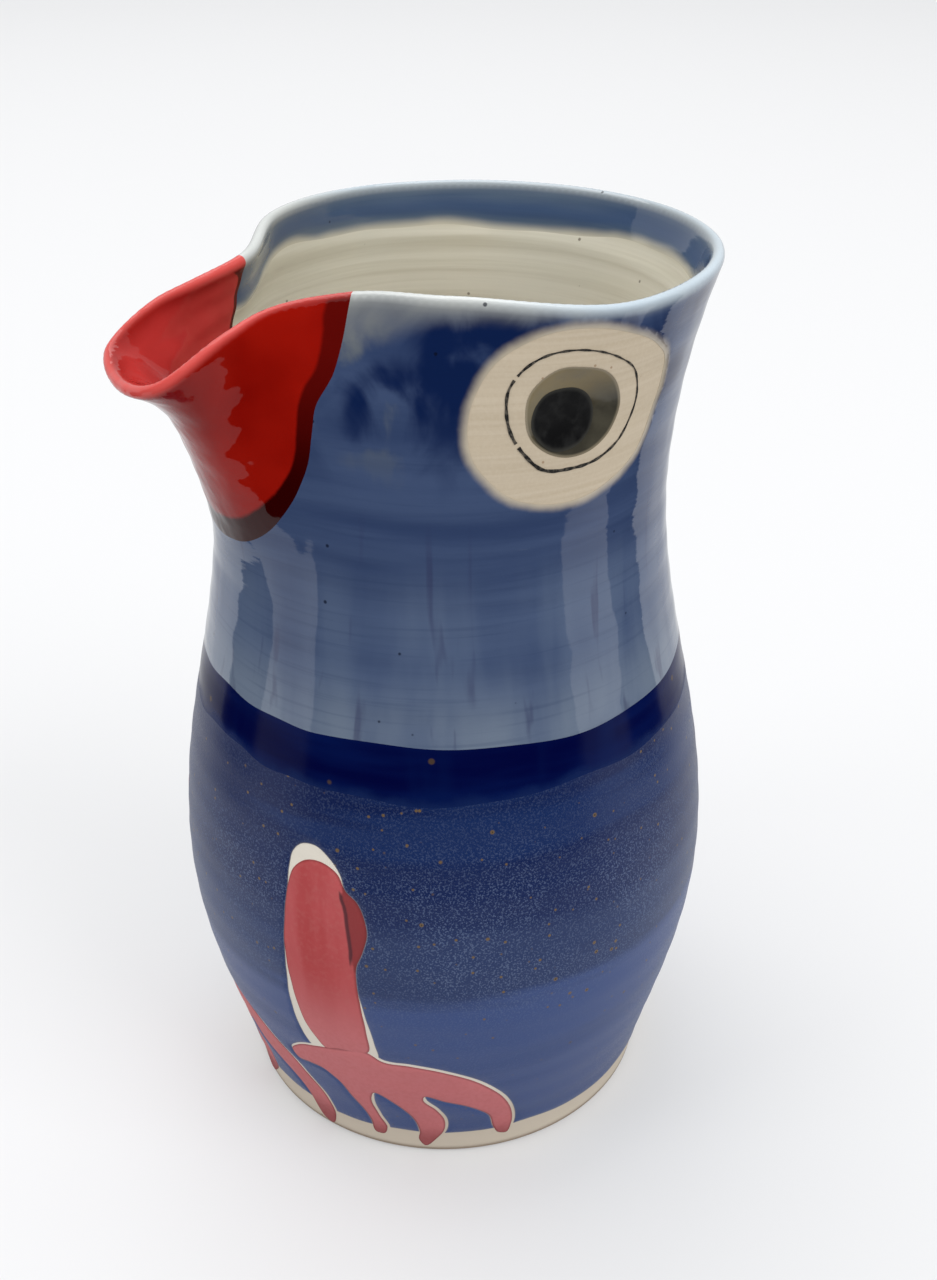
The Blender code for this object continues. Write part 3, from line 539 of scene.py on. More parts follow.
def lip_crest(share, right):
    """The lip's crest on either side, as if both were on the left."""
    bell = np.where(right, np.sin(np.pi * np.minimum(share / RIGHT_SPAN, 1.0)) ** 2, 0.0)
    return LIP_CURVE.at(share) - bell[..., None] * np.array((0.0, RIGHT_PUSH, RIGHT_SINK))


def lip_edge(share, right):
    """Where the outer wall ends, just under the lip's crest."""
    before = lip_crest(np.maximum(share - NUDGE, 0.0), right)
    along = lip_crest(np.minimum(share + NUDGE, 1.0), right) - before
    out = unit(np.stack((along[..., 1], -along[..., 0], np.zeros_like(share)), axis=-1))
    reach = 0.5 * LIP * (1.0 - beak_weight(share))
    return lip_crest(share, right) + out * reach[..., None] - np.array((0.0, 0.0, 0.5 * LIP))


def beak_lean(z, top):
    """How far the beak's wall has leaned out from the neck toward its lip."""
    rise = np.maximum((z - LEAN_BOTTOM) / (top - LEAN_BOTTOM), 0.0)
    return (1.0 - BEAK_CURL) * rise ** BEAK_LEAN + BEAK_CURL * rise ** CURL_SHARPNESS


def wall(u, v):
    """Outer wall: u runs from the beak (0) to the back (1, or -1 by the right side);
    v runs up the turned wall (0 to 1), then from the beak's bottom to the lip (1 to 2)."""
    u = (u + 1.0) % 2.0 - 1.0
    share = np.abs(u)
    turn = neck_angle(share)
    edge = lip_edge(share, u < 0.0)
    climb = np.clip(v - 1.0, 0.0, 1.0)
    z = np.minimum(v, 1.0) * BEAK_BOTTOM + (edge[..., 2] - BEAK_BOTTOM) * climb
    radius = turned_radius(z)
    weight = beak_weight(share)
    lean = weight * beak_lean(z, edge[..., 2]) + (1.0 - weight) * climb ** RIM_FLARE
    x = radius * np.sin(turn)
    y = -radius * np.cos(turn)
    x = x + (edge[..., 0] - x) * lean
    y = y + (edge[..., 1] - y) * lean
    return np.stack((np.where(u < 0.0, -x, x), y, z), axis=-1)


def wall_frame(u, v):
    """Point, outward normal and upward direction of the outer wall."""
    up = wall(u, np.minimum(v + NUDGE, 2.0)) - wall(u, np.maximum(v - NUDGE, 0.0))
    aside = wall(u + NUDGE, v) - wall(u - NUDGE, v)
    return wall(u, v), unit(np.cross(aside, up)), unit(up)


def base_surface(u, along):
    """The plain clay surface at places on the map."""
    v = np.interp(along, (0.0, BEAK_BOTTOM, RIM_HEIGHT, LIP_END, INNER_WAIST, INNER_FOOT),
                  (0.0, 1.0, 2.0, 2.0, 1.0, (FLOOR + FLOOR_FILLET) / BEAK_BOTTOM))
    point, normal, up = wall_frame(u, v)
    half = 0.5 * (WALL + (LIP - WALL) * np.maximum(v - 1.0, 0.0))[:, None]
    turn = np.pi * np.clip((along - RIM_HEIGHT) / (LIP_END - RIM_HEIGHT), 0.0, 1.0)[:, None]
    point = point + (normal * (np.cos(turn) - 1.0) + up * np.sin(turn)) * half
    return bend_base(bend_floor(point, along), along)


def bend_base(point, along):
    """The chamfered foot and the flat base."""
    chamfer = np.where(along < FOOT_CHAMFER, FOOT_CHAMFER - np.maximum(along, 0.0), 0.0)
    shrink = (1.0 - chamfer / BASE_RADIUS) * (1.0 + np.minimum(along, 0.0) / BASE_RADIUS)
    return point * np.stack((shrink, shrink, np.ones_like(shrink)), axis=-1)


def bend_floor(point, along):
    """The rounded inner corner and the floor."""
    turn = 0.5 * np.pi * np.clip((along - INNER_FOOT) / (FILLET_END - INNER_FOOT), 0.0, 1.0)
    radius = np.maximum(np.hypot(point[:, 0], point[:, 1]), FLOOR_FILLET)
    shrink = 1.0 - FLOOR_FILLET * (1.0 - np.cos(turn)) / radius
    shrink = shrink * np.clip((MAP_TOP - along) / (MAP_TOP - FILLET_END), 0.0, 1.0)
    z = np.where(along < INNER_FOOT, point[:, 2], FLOOR + FLOOR_FILLET * (1.0 - np.sin(turn)))
    return np.stack((point[:, 0] * shrink, point[:, 1] * shrink, z), axis=-1)


def throwing_marks(u, along):
    """A low spiral groove, finer outside than inside."""
    outer = OUTER_RING_HEIGHT * np.sin(2.0 * np.pi * (along / OUTER_RING_PITCH + 0.5 * u))
    inner = INNER_RING_HEIGHT * np.sin(2.0 * np.pi * (along / INNER_RING_PITCH + 0.5 * u))
    rim = smoothstep(RIM_HEIGHT - RING_FADE, RIM_HEIGHT, along)
    outside = smoothstep(0.0, FOOT_RING_FADE, along) * (1.0 - rim)
    lip = smoothstep(LIP_END, LIP_END + RING_FADE, along)
    inside = lip * (1.0 - smoothstep(FILLET_END, MAP_TOP, along))
    return outer * outside + inner * inside


def eye_place(point):
    """Millimetres along the wall and upward from the nearer eye's middle."""
    angle = np.arctan2(np.abs(point[:, 0]), -point[:, 1])
    return (angle - EYE_ANGLE) * WAIST_RADIUS / MM, (point[:, 2] - EYE_HEIGHT) / MM


def eye_hollow(point, along):
    """Depth of the pressed eye hollow, over its own outline."""
    x, y = eye_place(point)
    outline = smooth_loop(HOLLOW, HOLLOW_STEP)
    middle = outline.mean(axis=0)
    spokes = outline - middle
    turns = np.arctan2(spokes[:, 1], spokes[:, 0])
    order = np.argsort(turns)
    reach = np.interp(np.arctan2(y - middle[1], x - middle[0]), turns[order],
                      np.linalg.norm(spokes, axis=1)[order], period=2.0 * np.pi)
    share = np.clip(np.hypot(x - middle[0], y - middle[1]) / reach, 0.0, 1.0)
    return np.where(along < RIM_HEIGHT, HOLLOW_DEPTH * (1.0 - share ** HOLLOW_SHARPNESS), 0.0)


def clay(places):
    """Points and outward normals of the finished clay at places on the map."""
    u = places[:, 0] / MAP_WIDTH
    along = places[:, 1]
    point = base_surface(u, along)
    aside = base_surface(u + NUDGE, along) - base_surface(u - NUDGE, along)
    forward = base_surface(u, along + ALONG_NUDGE) - base_surface(u, along - ALONG_NUDGE)
    normal = np.cross(aside, forward)
    normal[np.linalg.norm(aside, axis=1) < TINY] = (0.0, 0.0, -1.0)
    normal[along > FILLET_END] = (0.0, 0.0, 1.0)
    normal[along < 0.0] = (0.0, 0.0, -1.0)
    normal = unit(normal)
    lift = throwing_marks(u, along) - eye_hollow(point, along)
    return point + normal * lift[:, None], normal


def on_wall(angle, z):
    """The wall's u and v at a direction and a height; the search settles on the leaning head."""
    u = share_at(angle)
    v = z / BEAK_BOTTOM
    head = v > 1.0
    v = np.where(head, 1.0 + (z - BEAK_BOTTOM) / BEAK_DEPTH, v)
    for _ in range(SEARCH_STEPS):
        point = wall(u, v)
        v = np.where(head, np.minimum(v + (z - point[..., 2]) / BEAK_DEPTH, 2.0), v)
        turn = np.arctan2(point[..., 0], -point[..., 1])
        u = np.where(head, u + (angle - turn) / np.pi, u)
    return u, v


def map_places(angle, z):
    """Places on the map for directions and heights on the outside."""
    u, v = on_wall(np.abs(angle), z)
    along = np.where(v > 1.0, BEAK_BOTTOM + (v - 1.0) * BEAK_DEPTH, v * BEAK_BOTTOM)
    return np.stack((np.sign(angle) * u * MAP_WIDTH, along), axis=-1)


def eye_places(local):
    """Places on the map of points that are given from the left eye's middle, in millimetres."""
    return map_places(EYE_ANGLE + local[:, 0] * MM / WAIST_RADIUS, EYE_HEIGHT + local[:, 1] * MM)


def mirrored(places):
    return (places * (-1.0, 1.0))[::-1]


def both_eyes(outline, step):
    """An outline's loops on the map, at the left and at the right eye."""
    loop = eye_places(smooth_loop(outline, step))
    return [loop, mirrored(loop)]


def leg_loop(outline, angle):
    local = smooth_loop(outline, LOOP_STEP) * MM
    z = local[:, 1]
    return map_places(angle + local[:, 0] / turned_radius(z), z)


def stretched(outline):
    """The far foot's toes, longer and lower in proportion to how far they reach."""
    far = [max(x, 0.0) for x, y in outline]
    return [(x + reach * (RIGHT_TOE_STRETCH - 1.0), y - RIGHT_TOE_DROP * reach / LONGEST_TOE)
            for (x, y), reach in zip(outline, far)]


def widened(outline):
    """The outline moved outward all round, then aside; it runs clockwise."""
    points = np.array(outline, float)
    return points + square_to(loop_steps(points)) * FOOT_MARGIN + np.array(FOOT_SHIFT)


def inside_loop(places, loop):
    """Which places lie inside a closed outline."""
    low = loop.min(axis=0)
    high = loop.max(axis=0)
    near = np.all((places >= low) & (places <= high), axis=1)
    x, y = places[near].T[:, :, None]
    ax, ay = loop.T
    bx, by = np.roll(loop, -1, axis=0).T
    with np.errstate(divide="ignore", invalid="ignore"):
        crossing = ((ay > y) != (by > y)) & (x < (bx - ax) * (y - ay) / (by - ay) + ax)
    found = np.zeros(len(places), bool)
    found[near] = crossing.sum(axis=1) % 2 == 1
    return found


def in_any(places, loops):
    found = np.zeros(len(places), bool)
    for loop in loops:
        found |= inside_loop(places, loop)
    return found


def tree_of(places):
    """A search tree of places on the map."""
    tree = kdtree.KDTree(len(places))
    for i, (x, y) in enumerate(places):
        tree.insert((x, y, 0.0), i)
    tree.balance()
    return tree


def distances(places, targets):
    """Distance on the map from each place to the nearest target."""
    tree = tree_of(targets)
    return np.array([tree.find((x, y, 0.0))[2] for x, y in places])


def row_heights():
    """Rows of the map, closer together where the clay bends."""
    rows = []
    for low, high, step in ROW_SPANS:
        rows += list(np.linspace(low, high, max(round((high - low) / step), 1) + 1)[:-1])
    return rows + [MAP_TOP]


def grid_places():
    """Staggered places over the whole map, with both edges kept so that they can be joined."""
    count = 2 * round(MAP_WIDTH / COLUMN_STEP)
    even = np.linspace(-MAP_WIDTH, MAP_WIDTH, count + 1)
    odd = np.concatenate((even[:1], 0.5 * (even[1:] + even[:-1]), even[-1:]))
    rows = []
    for i, height in enumerate(row_heights()):
        x = odd if i % 2 else even
        rows.append(np.stack((x, np.full(len(x), height)), axis=-1))
    return np.concatenate(rows)


GRID = grid_places()


def border_line(height, waves):
    """A wavy level line round the whole map: waves are count, height and turn."""
    count = 4 * round(MAP_WIDTH / COLUMN_STEP)
    x = np.linspace(-MAP_WIDTH, MAP_WIDTH, count + 1)
    y = np.full(count + 1, height)
    for number, rise, turn in waves:
        y = y + rise * np.sin(number * np.pi * x / MAP_WIDTH + turn)
    y[-1] = y[0]
    return np.stack((x, y), axis=-1)


def offset_places(line, closed, distance):
    """Places beside a line on both sides, where a coat's edge is rounded."""
    along = loop_steps(line) if closed else np.gradient(line, axis=0)
    aside = square_to(along) * distance
    beside = np.concatenate((line + aside, line - aside))
    beside = beside[np.abs(beside[:, 0]) < MAP_WIDTH - 0.5 * distance]
    return beside[distances(beside, line) > EDGE_ROW_BEND * distance]


class Patch:
    """A triangulated part of the map. Lines are (places, closed, rounded)."""

    def __init__(self, lines, keep):
        drawn = np.concatenate([line for line, _, _ in lines])
        seeds = [GRID[self.roomy(GRID, drawn, ROOM)]]
        for line, closed, rounded in lines:
            for distance in EDGE_ROWS if rounded else ():
                beside = offset_places(line, closed, distance)
                seeds.append(beside[self.roomy(beside, drawn, EDGE_ROW_ROOM * distance)])
        verts = np.concatenate(seeds)
        edges = []
        for line, closed, _ in lines:
            first = len(verts)
            verts = np.concatenate((verts, line))
            edges += [(i, i + 1) for i in range(first, len(verts) - 1)]
            if closed:
                edges.append((len(verts) - 1, first))
        self.triangulate(verts, edges, keep)

    @staticmethod
    def roomy(places, drawn, room):
        """Places on the seam of the map stay, others keep clear of drawn lines."""
        edge = np.abs(places[:, 0]) > MAP_WIDTH - MAP_EDGE
        near = distances(places, drawn)
        return np.where(edge, near > MAP_EDGE_ROOM, near > room)

    def triangulate(self, verts, edges, keep):
        made = delaunay_2d_cdt([Vector(place) for place in verts], edges, [], 0, MERGE)
        places = np.array([tuple(place) for place in made[0]])
        faces = np.array(made[2])
        faces = faces[keep(places[faces].mean(axis=1))]
        self.places, self.faces = welded(places, faces)

    def part(self, chosen):
        """A patch of only the chosen faces."""
        part = copy.copy(self)
        part.places, part.faces = trimmed(self.places, self.faces[chosen])
        return part


def trimmed(points, faces):
    """Drops the points that no face uses."""
    used, corners = np.unique(faces, return_inverse=True)
    return points[used], corners.reshape(faces.shape)


def welded(places, faces):
    """Joins the map's two edges and closes its ends, then drops what no face uses."""
    x, y = np.round(places, MAP_DIGITS).T
    right, bottom, top = np.round((MAP_WIDTH, MAP_BOTTOM, MAP_TOP), MAP_DIGITS)
    x[x >= right] = -right
    x[(y <= bottom) | (y >= top)] = 0.0
    _, first, same = np.unique(np.stack((x, y), axis=-1), axis=0, return_index=True, return_inverse=True)
    faces = first[same.reshape(-1)[faces]]
    whole = (faces[:, 0] != faces[:, 1]) & (faces[:, 1] != faces[:, 2]) & (faces[:, 0] != faces[:, 2])
    return trimmed(places, faces[whole])


def rim_edges(faces):
    """Edges that only one face uses, in that face's direction."""
    edges = [(a, b) for face in faces.tolist() for a, b in zip(face, face[1:] + face[:1])]
    used = set(edges)
    return [(a, b) for a, b in edges if (b, a) not in used]


def add_object(name, data):
    made = bpy.data.objects.new(name, data)
    bpy.context.scene.collection.objects.link(made)
    return made


def make_piece(name, points, faces, material, node, tones):
    mesh = bpy.data.meshes.new(name)
    mesh.from_pydata([tuple(point) for point in points], [], faces)
    for tone, values in tones.items():
        layer = mesh.attributes.new(tone, "FLOAT", "POINT")
        layer.data.foreach_set("value", np.asarray(values, np.float32))
    shape = bmesh.new()
    shape.from_mesh(mesh)
    bmesh.ops.recalc_face_normals(shape, faces=shape.faces)
    shape.to_mesh(mesh)
    shape.free()
    mesh.shade_smooth()
    mesh.set_sharp_from_angle(angle=SMOOTH_ANGLE)
    mesh.materials.append(material)
    piece = add_object(name, mesh)
    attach(piece, "root")
    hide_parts(node)
    return piece


def make_coat(name, patch, lift, material, node, tones):
    """A closed thin solid over part of the map, its underside sunk in the clay."""
    point, normal = clay(patch.places)
    lift = np.broadcast_to(lift, len(point))[:, None]
    upper = point + normal * lift
    lower = point - normal * SINK
    count = len(point)
    faces = patch.faces.tolist()
    closed = faces + [[i + count for i in reversed(face)] for face in faces]
    closed += [[b, a, a + count, b + count] for a, b in rim_edges(patch.faces)]
    doubled = {tone: np.concatenate((values, values)) for tone, values in tones.items()}
    return make_piece(name, np.concatenate((upper, lower)), closed, material, node, doubled)


def edge_lift(thickness, room):
    """A coat's thickness, rounded off toward bare clay; room is the distance to it."""
    return THIN_EDGE + (thickness - THIN_EDGE) * smoothstep(0.0, EDGE_ROUND, room)


class Finish:
    """A material's nodes, added one call at a time; colour is what has been painted so far."""

    def __init__(self, name, roughness, gloss=0.5):
        self.material = bpy.data.materials.new(name)
        self.material.use_nodes = True
        self.nodes = self.material.node_tree.nodes
        self.links = self.material.node_tree.links
        self.surface = self.nodes["Principled BSDF"]
        self.feed(self.surface, {"Roughness": roughness, "Specular IOR Level": gloss})
        self.place = self.add("TexCoord", {}).outputs["Object"]
        self.colour = None

    def feed(self, node, values):
        """Sets or links a node's inputs."""
        for name, value in values.items():
            socket = node.inputs[name]
            if isinstance(value, bpy.types.NodeSocket):
                self.links.new(value, socket)
            elif socket.type == "RGBA":
                socket.default_value = (*value, 1.0)
            else:
                socket.default_value = value

    def add(self, kind, values, **settings):
        node = self.nodes.new("ShaderNode" + kind)
        for name, value in settings.items():
            setattr(node, name, value)
        self.feed(node, values)
        return node

    def tone(self, name):
        return self.add("Attribute", {}, attribute_name=name).outputs["Fac"]

    def height(self):
        return self.add("SeparateXYZ", {"Vector": self.place}).outputs["Z"]

    def noise(self, scale, detail=2.0, stretch=(1.0, 1.0, 1.0), warp=0.0):
        place = self.add("Mapping", {"Vector": self.place, "Scale": stretch}).outputs["Vector"]
        values = {"Vector": place, "Scale": scale, "Detail": detail, "Distortion": warp}
        return self.add("TexNoise", values).outputs["Fac"]

    def specks(self, scale, size, share):
        """Round specks: 1 inside a speck, in a share of the cells."""
        cells = self.add("TexVoronoi", {"Vector": self.place, "Scale": scale})
        spot = self.ramp(cells.outputs["Distance"], size, 0.5 * size)
        chance = self.add("SeparateColor", {"Color": cells.outputs["Color"]}).outputs[0]
        return self.times(spot, self.math("LESS_THAN", chance, share))

    def ramp(self, value, low, high, start=0.0, end=1.0):
        """From start to end while the value goes from low to high."""
        values = {"Value": value, "From Min": low, "From Max": high, "To Min": start, "To Max": end}
        return self.add("MapRange", values, interpolation_type="SMOOTHSTEP").outputs["Result"]

    def math(self, operation, first, second):
        return self.add("Math", {0: first, 1: second}, operation=operation).outputs[0]

    def times(self, value, *factors):
        for factor in factors:
            value = self.math("MULTIPLY", value, factor)
        return value

    def plus(self, value, other, amount):
        """A value and an amount of another."""
        return self.math("ADD", value, self.times(other, amount))

    def mix(self, share, first, second):
        values = {MIX_SHARE: share, MIX_FIRST: first, MIX_SECOND: second}
        return self.add("Mix", values, data_type="RGBA").outputs[MIX_RESULT]

    def over(self, share, colour):
        """Paints a colour over what has been painted so far."""
        self.colour = self.mix(share, self.colour, colour)

    def bump(self, height, distance, strength=1.0):
        values = {"Strength": strength, "Distance": distance, "Height": height}
        self.feed(self.surface, {"Normal": self.add("Bump", values).outputs[0]})

    def done(self, **surface):
        self.feed(self.surface, {"Base Color": self.colour, **surface})
        return self.material


def clay_finish():
    """Bare cream stoneware: fine turning lines, sandy grain and rust specks, with painted bounce light near
    the floor and painted contact shade along the foot's bottom edge.
    """
    made = Finish("bare_clay", 0.75, 0.3)
    height = made.height()
    lines = made.noise(60.0, 3.0, (0.4, 0.4, 22.0))
    grain = made.noise(1600.0)
    made.colour = made.mix(made.ramp(lines, 0.25, 0.75), CLAY_GROOVE, CLAY_RIDGE)
    made.over(made.ramp(grain, 0.35, 0.75, 0.0, 0.25), CLAY_SAND)
    # Painted bounce light: the clay is lightened toward the floor
    made.over(made.ramp(height, *BOUNCE_LIGHT_RANGE), CLAY_PAINTED_BOUNCE_LIGHT)
    reserve = made.times(made.ramp(height, *RESERVE_TOP), made.ramp(height, *RESERVE_BOTTOM), 0.85)
    made.over(reserve, CLAY_RESERVE)
    made.over(made.times(made.specks(420.0, 0.14, 0.07), 0.6), CLAY_RUST)
    # Painted contact shade: the foot's bottom edge is darkened brown
    made.over(made.times(made.ramp(height, *CONTACT_SHADE_RANGE), 0.75), CLAY_PAINTED_CONTACT_SHADE)
    made.bump(made.plus(lines, grain, 0.4), 0.00008, 0.5)
    return made.done()


def liner_finish():
    """Cream glaze inside, with the throwing rings showing through and fine specks."""
    made = Finish("liner", 0.34, 0.3)
    rings = made.noise(42.0, 3.0, (0.35, 0.35, 14.0))
    cloud = made.noise(22.0)
    made.colour = made.mix(made.ramp(rings, 0.32, 0.68), LINER_GROOVE, LINER_RIDGE)
    made.over(made.ramp(cloud, 0.4, 0.7, 0.0, 0.4), LINER_CLOUD)
    made.over(made.times(made.specks(300.0, 0.14, 0.14), 0.75), LINER_SPECK)
    made.bump(rings, 0.00014, 0.6)
    return made.done(Roughness=made.ramp(cloud, 0.3, 0.7, 0.30, 0.42))


def neck_finish():
    """Glossy blue: brushed grey-blue with runs, cobalt dabs on the head, thin and grey at the rim, with a
    painted highlight on the lip's crest.
    """
    made = Finish("neck_blue", 0.05)
    height = made.height()
    bands = made.noise(24.0, 5.0, (0.45, 0.45, 6.0), 0.15)
    paint_neck(made, height, bands)
    paint_band(made, bands)
    dabs = paint_head(made, height)
    paint_rim(made, bands, dabs)
    fade = made.plus(made.tone("bare"), made.noise(170.0, 3.0), 1.2)
    made.over(made.ramp(fade, *NECK_EDGE), NECK_BARE)
    made.over(made.times(made.specks(260.0, 0.13, 0.12), 0.8), NECK_SPECK)
    made.bump(made.plus(made.noise(45.0, 2.0, (1.0, 1.0, 0.6)), bands, 0.35), 0.00075)
    return made.done()


def paint_neck(made, height, bands):
    """Brushed bands, thinner runs toward the bottom, and thin dark drips."""
    runs = made.noise(75.0, 3.0, (1.0, 1.0, 0.10), 0.3)
    strokes = made.noise(90.0, 3.0, (0.25, 0.25, 9.0))
    drips = made.noise(260.0, 2.0, (1.0, 1.0, 0.045), 0.2)
    made.colour = made.mix(made.ramp(bands, 0.33, 0.67), NECK_DARK, NECK_PALE)
    made.over(made.times(made.ramp(height, *GREY_RANGE), made.ramp(runs, 0.32, 0.68, 0.2, 0.9)), NECK_GREY)
    made.over(made.times(made.ramp(height, *THIN_RANGE), made.ramp(runs, 0.30, 0.62, 0.45, 1.0)), NECK_THIN)
    made.over(made.ramp(strokes, 0.54, 0.70, 0.0, 0.18), NECK_STROKE)
    made.over(made.times(made.ramp(drips, 0.62, 0.74, 0.0, 0.45), made.ramp(height, *DRIP_RANGE)), NECK_DRIP)


def paint_band(made, bands):
    """The band inside the lip, bluer where the glaze pooled above its lower edge."""
    edge = made.tone("edge")
    band = made.mix(made.ramp(bands, 0.35, 0.65), BAND_DARK, BAND_PALE)
    pooled = made.times(made.ramp(edge, *POOL_START), made.ramp(edge, *POOL_END), 0.6)
    made.colour = made.mix(made.tone("outer"), made.mix(pooled, band, BAND_POOL), made.colour)


def paint_head(made, height):
    """Dark and pale dabs of the brush, which are also where the rim's wash is thin."""
    dabs = made.plus(made.noise(85.0, 4.0, (1.0, 1.0, 0.7), 0.6), made.tone("dab"), DAB_WEIGHT)
    dabs = made.plus(dabs, made.tone("pale"), PALE_WEIGHT)
    head = made.times(made.ramp(height, *HEAD_RANGE), made.tone("outer"))
    made.over(made.times(head, made.ramp(dabs, 0.42, 0.72)), DAB_DARK)
    made.over(made.times(head, made.ramp(dabs, 0.40, 0.24, 0.0, 0.8)), DAB_PALE)
    return dabs


def paint_rim(made, bands, dabs):
    """The grey wash under the lip, the pale crest (thin glaze and a painted highlight) and the cream edge
    inside.
    """
    thin = made.plus(made.tone("wash"), dabs, 1.3)
    made.over(made.times(made.ramp(thin, *WASH_THIN), made.tone("near")), WASH_GREY)
    # The pale crest is partly glaze breaking thin, partly a painted highlight
    crest = made.times(made.tone("crest"), made.ramp(bands, 0.30, 0.6, 0.65, 1.0))
    made.over(crest, made.mix(made.tone("back"), CREST_PALE_AND_HIGHLIGHT_FRONT, CREST_PALE_AND_HIGHLIGHT_BACK))
    made.over(made.ramp(made.plus(made.tone("edge"), made.noise(55.0), 2.4), *CREAM_EDGE), BAND_CREAM)


def overlap_finish():
    """Where two dips overlap: almost black navy, glassy."""
    made = Finish("overlap_navy", 0.10, 0.06)
    bands = made.noise(30.0, 3.0, (0.6, 0.6, 4.0))
    runs = made.noise(60.0, 3.0, (1.0, 1.0, 0.15))
    made.colour = made.mix(made.ramp(bands, 0.35, 0.7), OVERLAP_DARK, OVERLAP_PALE)
    made.over(made.ramp(runs, 0.5, 0.75, 0.0, 0.7), OVERLAP_RUN)
    edge = made.plus(made.tone("low"), made.noise(160.0, 3.0), 4.0)
    made.over(made.ramp(edge, *OVERLAP_FADE), OVERLAP_EDGE)
    made.over(made.times(made.specks(240.0, 0.20, 0.08), 0.7), OVERLAP_SPECK)
    made.bump(made.math("ADD", bands, runs), 0.00025, 0.5)
    return made.done(Roughness=made.ramp(edge, *OVERLAP_FADE, 0.16, 0.32))


def belly_finish():
    """Satin cobalt: deep at the top, brushed bands, whitish grain and golden-brown specks."""
    made = Finish("belly_blue", 0.34, 0.28)
    made.feed(made.surface, {"Sheen Weight": 0.05, "Sheen Tint": BELLY_SHEEN})
    height = made.height()
    bands = made.noise(20.0, 4.0, (0.35, 0.35, 4.5), 0.2)
    grain = made.noise(2500.0)
    cloud = made.noise(60.0, 3.0)
    level = made.plus(height, bands, BELLY_BAND_RISE)
    made.colour = made.mix(made.ramp(level, *BELLY_HIGH_RANGE), BELLY_TOP, BELLY_HIGH)
    made.over(made.ramp(level, *BELLY_MIDDLE_RANGE), BELLY_MIDDLE)
    made.over(made.ramp(level, *BELLY_LOW_RANGE), BELLY_LOW)
    made.over(made.ramp(bands, 0.50, 0.62, 0.0, 0.45), BELLY_STREAK)
    frost = made.times(made.ramp(grain, 0.50, 0.64), made.ramp(cloud, 0.30, 0.65, 0.45, 0.85),
                       made.ramp(level, *FROST_BOTTOM, 0.3, 0.85), made.ramp(height, *FROST_TOP, 0.3, 1.0))
    made.over(frost, BELLY_FROST)
    gold = made.math("MAXIMUM", made.specks(300.0, 0.19, 0.14), made.specks(520.0, 0.23, 0.18))
    made.over(made.times(gold, made.ramp(height, *GOLD_BOTTOM, 0.25, 0.9)), BELLY_GOLD)
    made.over(made.times(made.specks(300.0, 0.08, 0.13), 0.9), BELLY_PIT)
    made.over(made.ramp(made.tone("bare"), *BELLY_EDGE, 0.0, 0.4), BELLY_BARE)
    made.bump(made.plus(grain, bands, 2.0), 0.00007, 0.6)
    return made.done(Roughness=made.ramp(grain, 0.35, 0.7, 0.28, 0.42))


def beak_finish():
    """Glossy poured red: brick-dark where it lies over the blue; lighter on the lip and inside, where the
    glaze is thinner and a highlight is painted.
    """
    made = Finish("beak_red", 0.05, 0.27)
    lip = made.tone("lip")
    cloud = made.noise(40.0, 3.0)
    streaks = made.noise(60.0, 3.0, (1.0, 1.0, 0.25))
    made.colour = made.mix(made.ramp(cloud, 0.35, 0.7), BEAK_DARK, BEAK_RED)
    made.over(made.ramp(streaks, 0.45, 0.75, 0.0, 0.5), BEAK_STREAK)
    # Lighter inside: thinner glaze, and a painted highlight
    made.over(made.times(made.tone("inner"), made.ramp(cloud, 0.35, 0.65, 0.6, 0.9)), BEAK_INNER_THIN_AND_HIGHLIGHT)
    edge = made.plus(made.tone("seam"), made.noise(130.0, 3.0), 0.36)
    strip = made.times(made.ramp(edge, *STRIP_EDGE), made.ramp(lip, *STRIP_CLEAR))
    made.over(strip, made.mix(made.ramp(made.height(), *STRIP_RED_RANGE), STRIP_DARK, STRIP_RED))
    # Lighter lip: thinner glaze, and a painted highlight along the crest
    made.over(made.times(made.ramp(lip, *BEAK_LIP_EDGE), 0.8), BEAK_RIM_THIN_AND_HIGHLIGHT)
    made.bump(made.plus(made.noise(55.0), made.noise(120.0), 0.6), 0.00085)
    return made.done()


def leg_finish():
    """Matt brushed red slip: streaks along the stroke, darker where it lies thick."""
    made = Finish("leg_red", 0.6, 0.2)
    bare = made.tone("bare")
    knob = made.tone("bump")
    streaks = made.noise(150.0, 3.0, (1.0, 1.0, 0.12), 0.2)
    grain = made.noise(900.0)
    made.colour = made.mix(made.ramp(streaks, 0.3, 0.7), SLIP_DARK, SLIP_PALE)
    made.over(made.ramp(made.height(), *SLIP_LOW_RANGE, 0.0, 0.75), SLIP_LOW)
    made.over(made.ramp(grain, 0.4, 0.75, 0.0, 0.25), SLIP_GRAIN)
    made.over(made.tone("thick"), SLIP_THICK)
    made.over(made.ramp(knob, *KNOB_EDGE, 0.0, 0.7), SLIP_KNOB)
    line = made.ramp(made.math("ABSOLUTE", knob, 0.0), *KNOB_LINE, 0.0, 0.8)
    made.over(made.times(line, made.ramp(bare, *KNOB_LINE_CLEAR)), SLIP_LINE)
    made.over(made.ramp(bare, *LEG_EDGE, 0.0, 0.5), SLIP_EDGE)
    made.bump(made.plus(streaks, grain, 0.4), 0.00012, 0.6)
    return made.done(Roughness=made.ramp(grain, 0.3, 0.7, 0.52, 0.66))


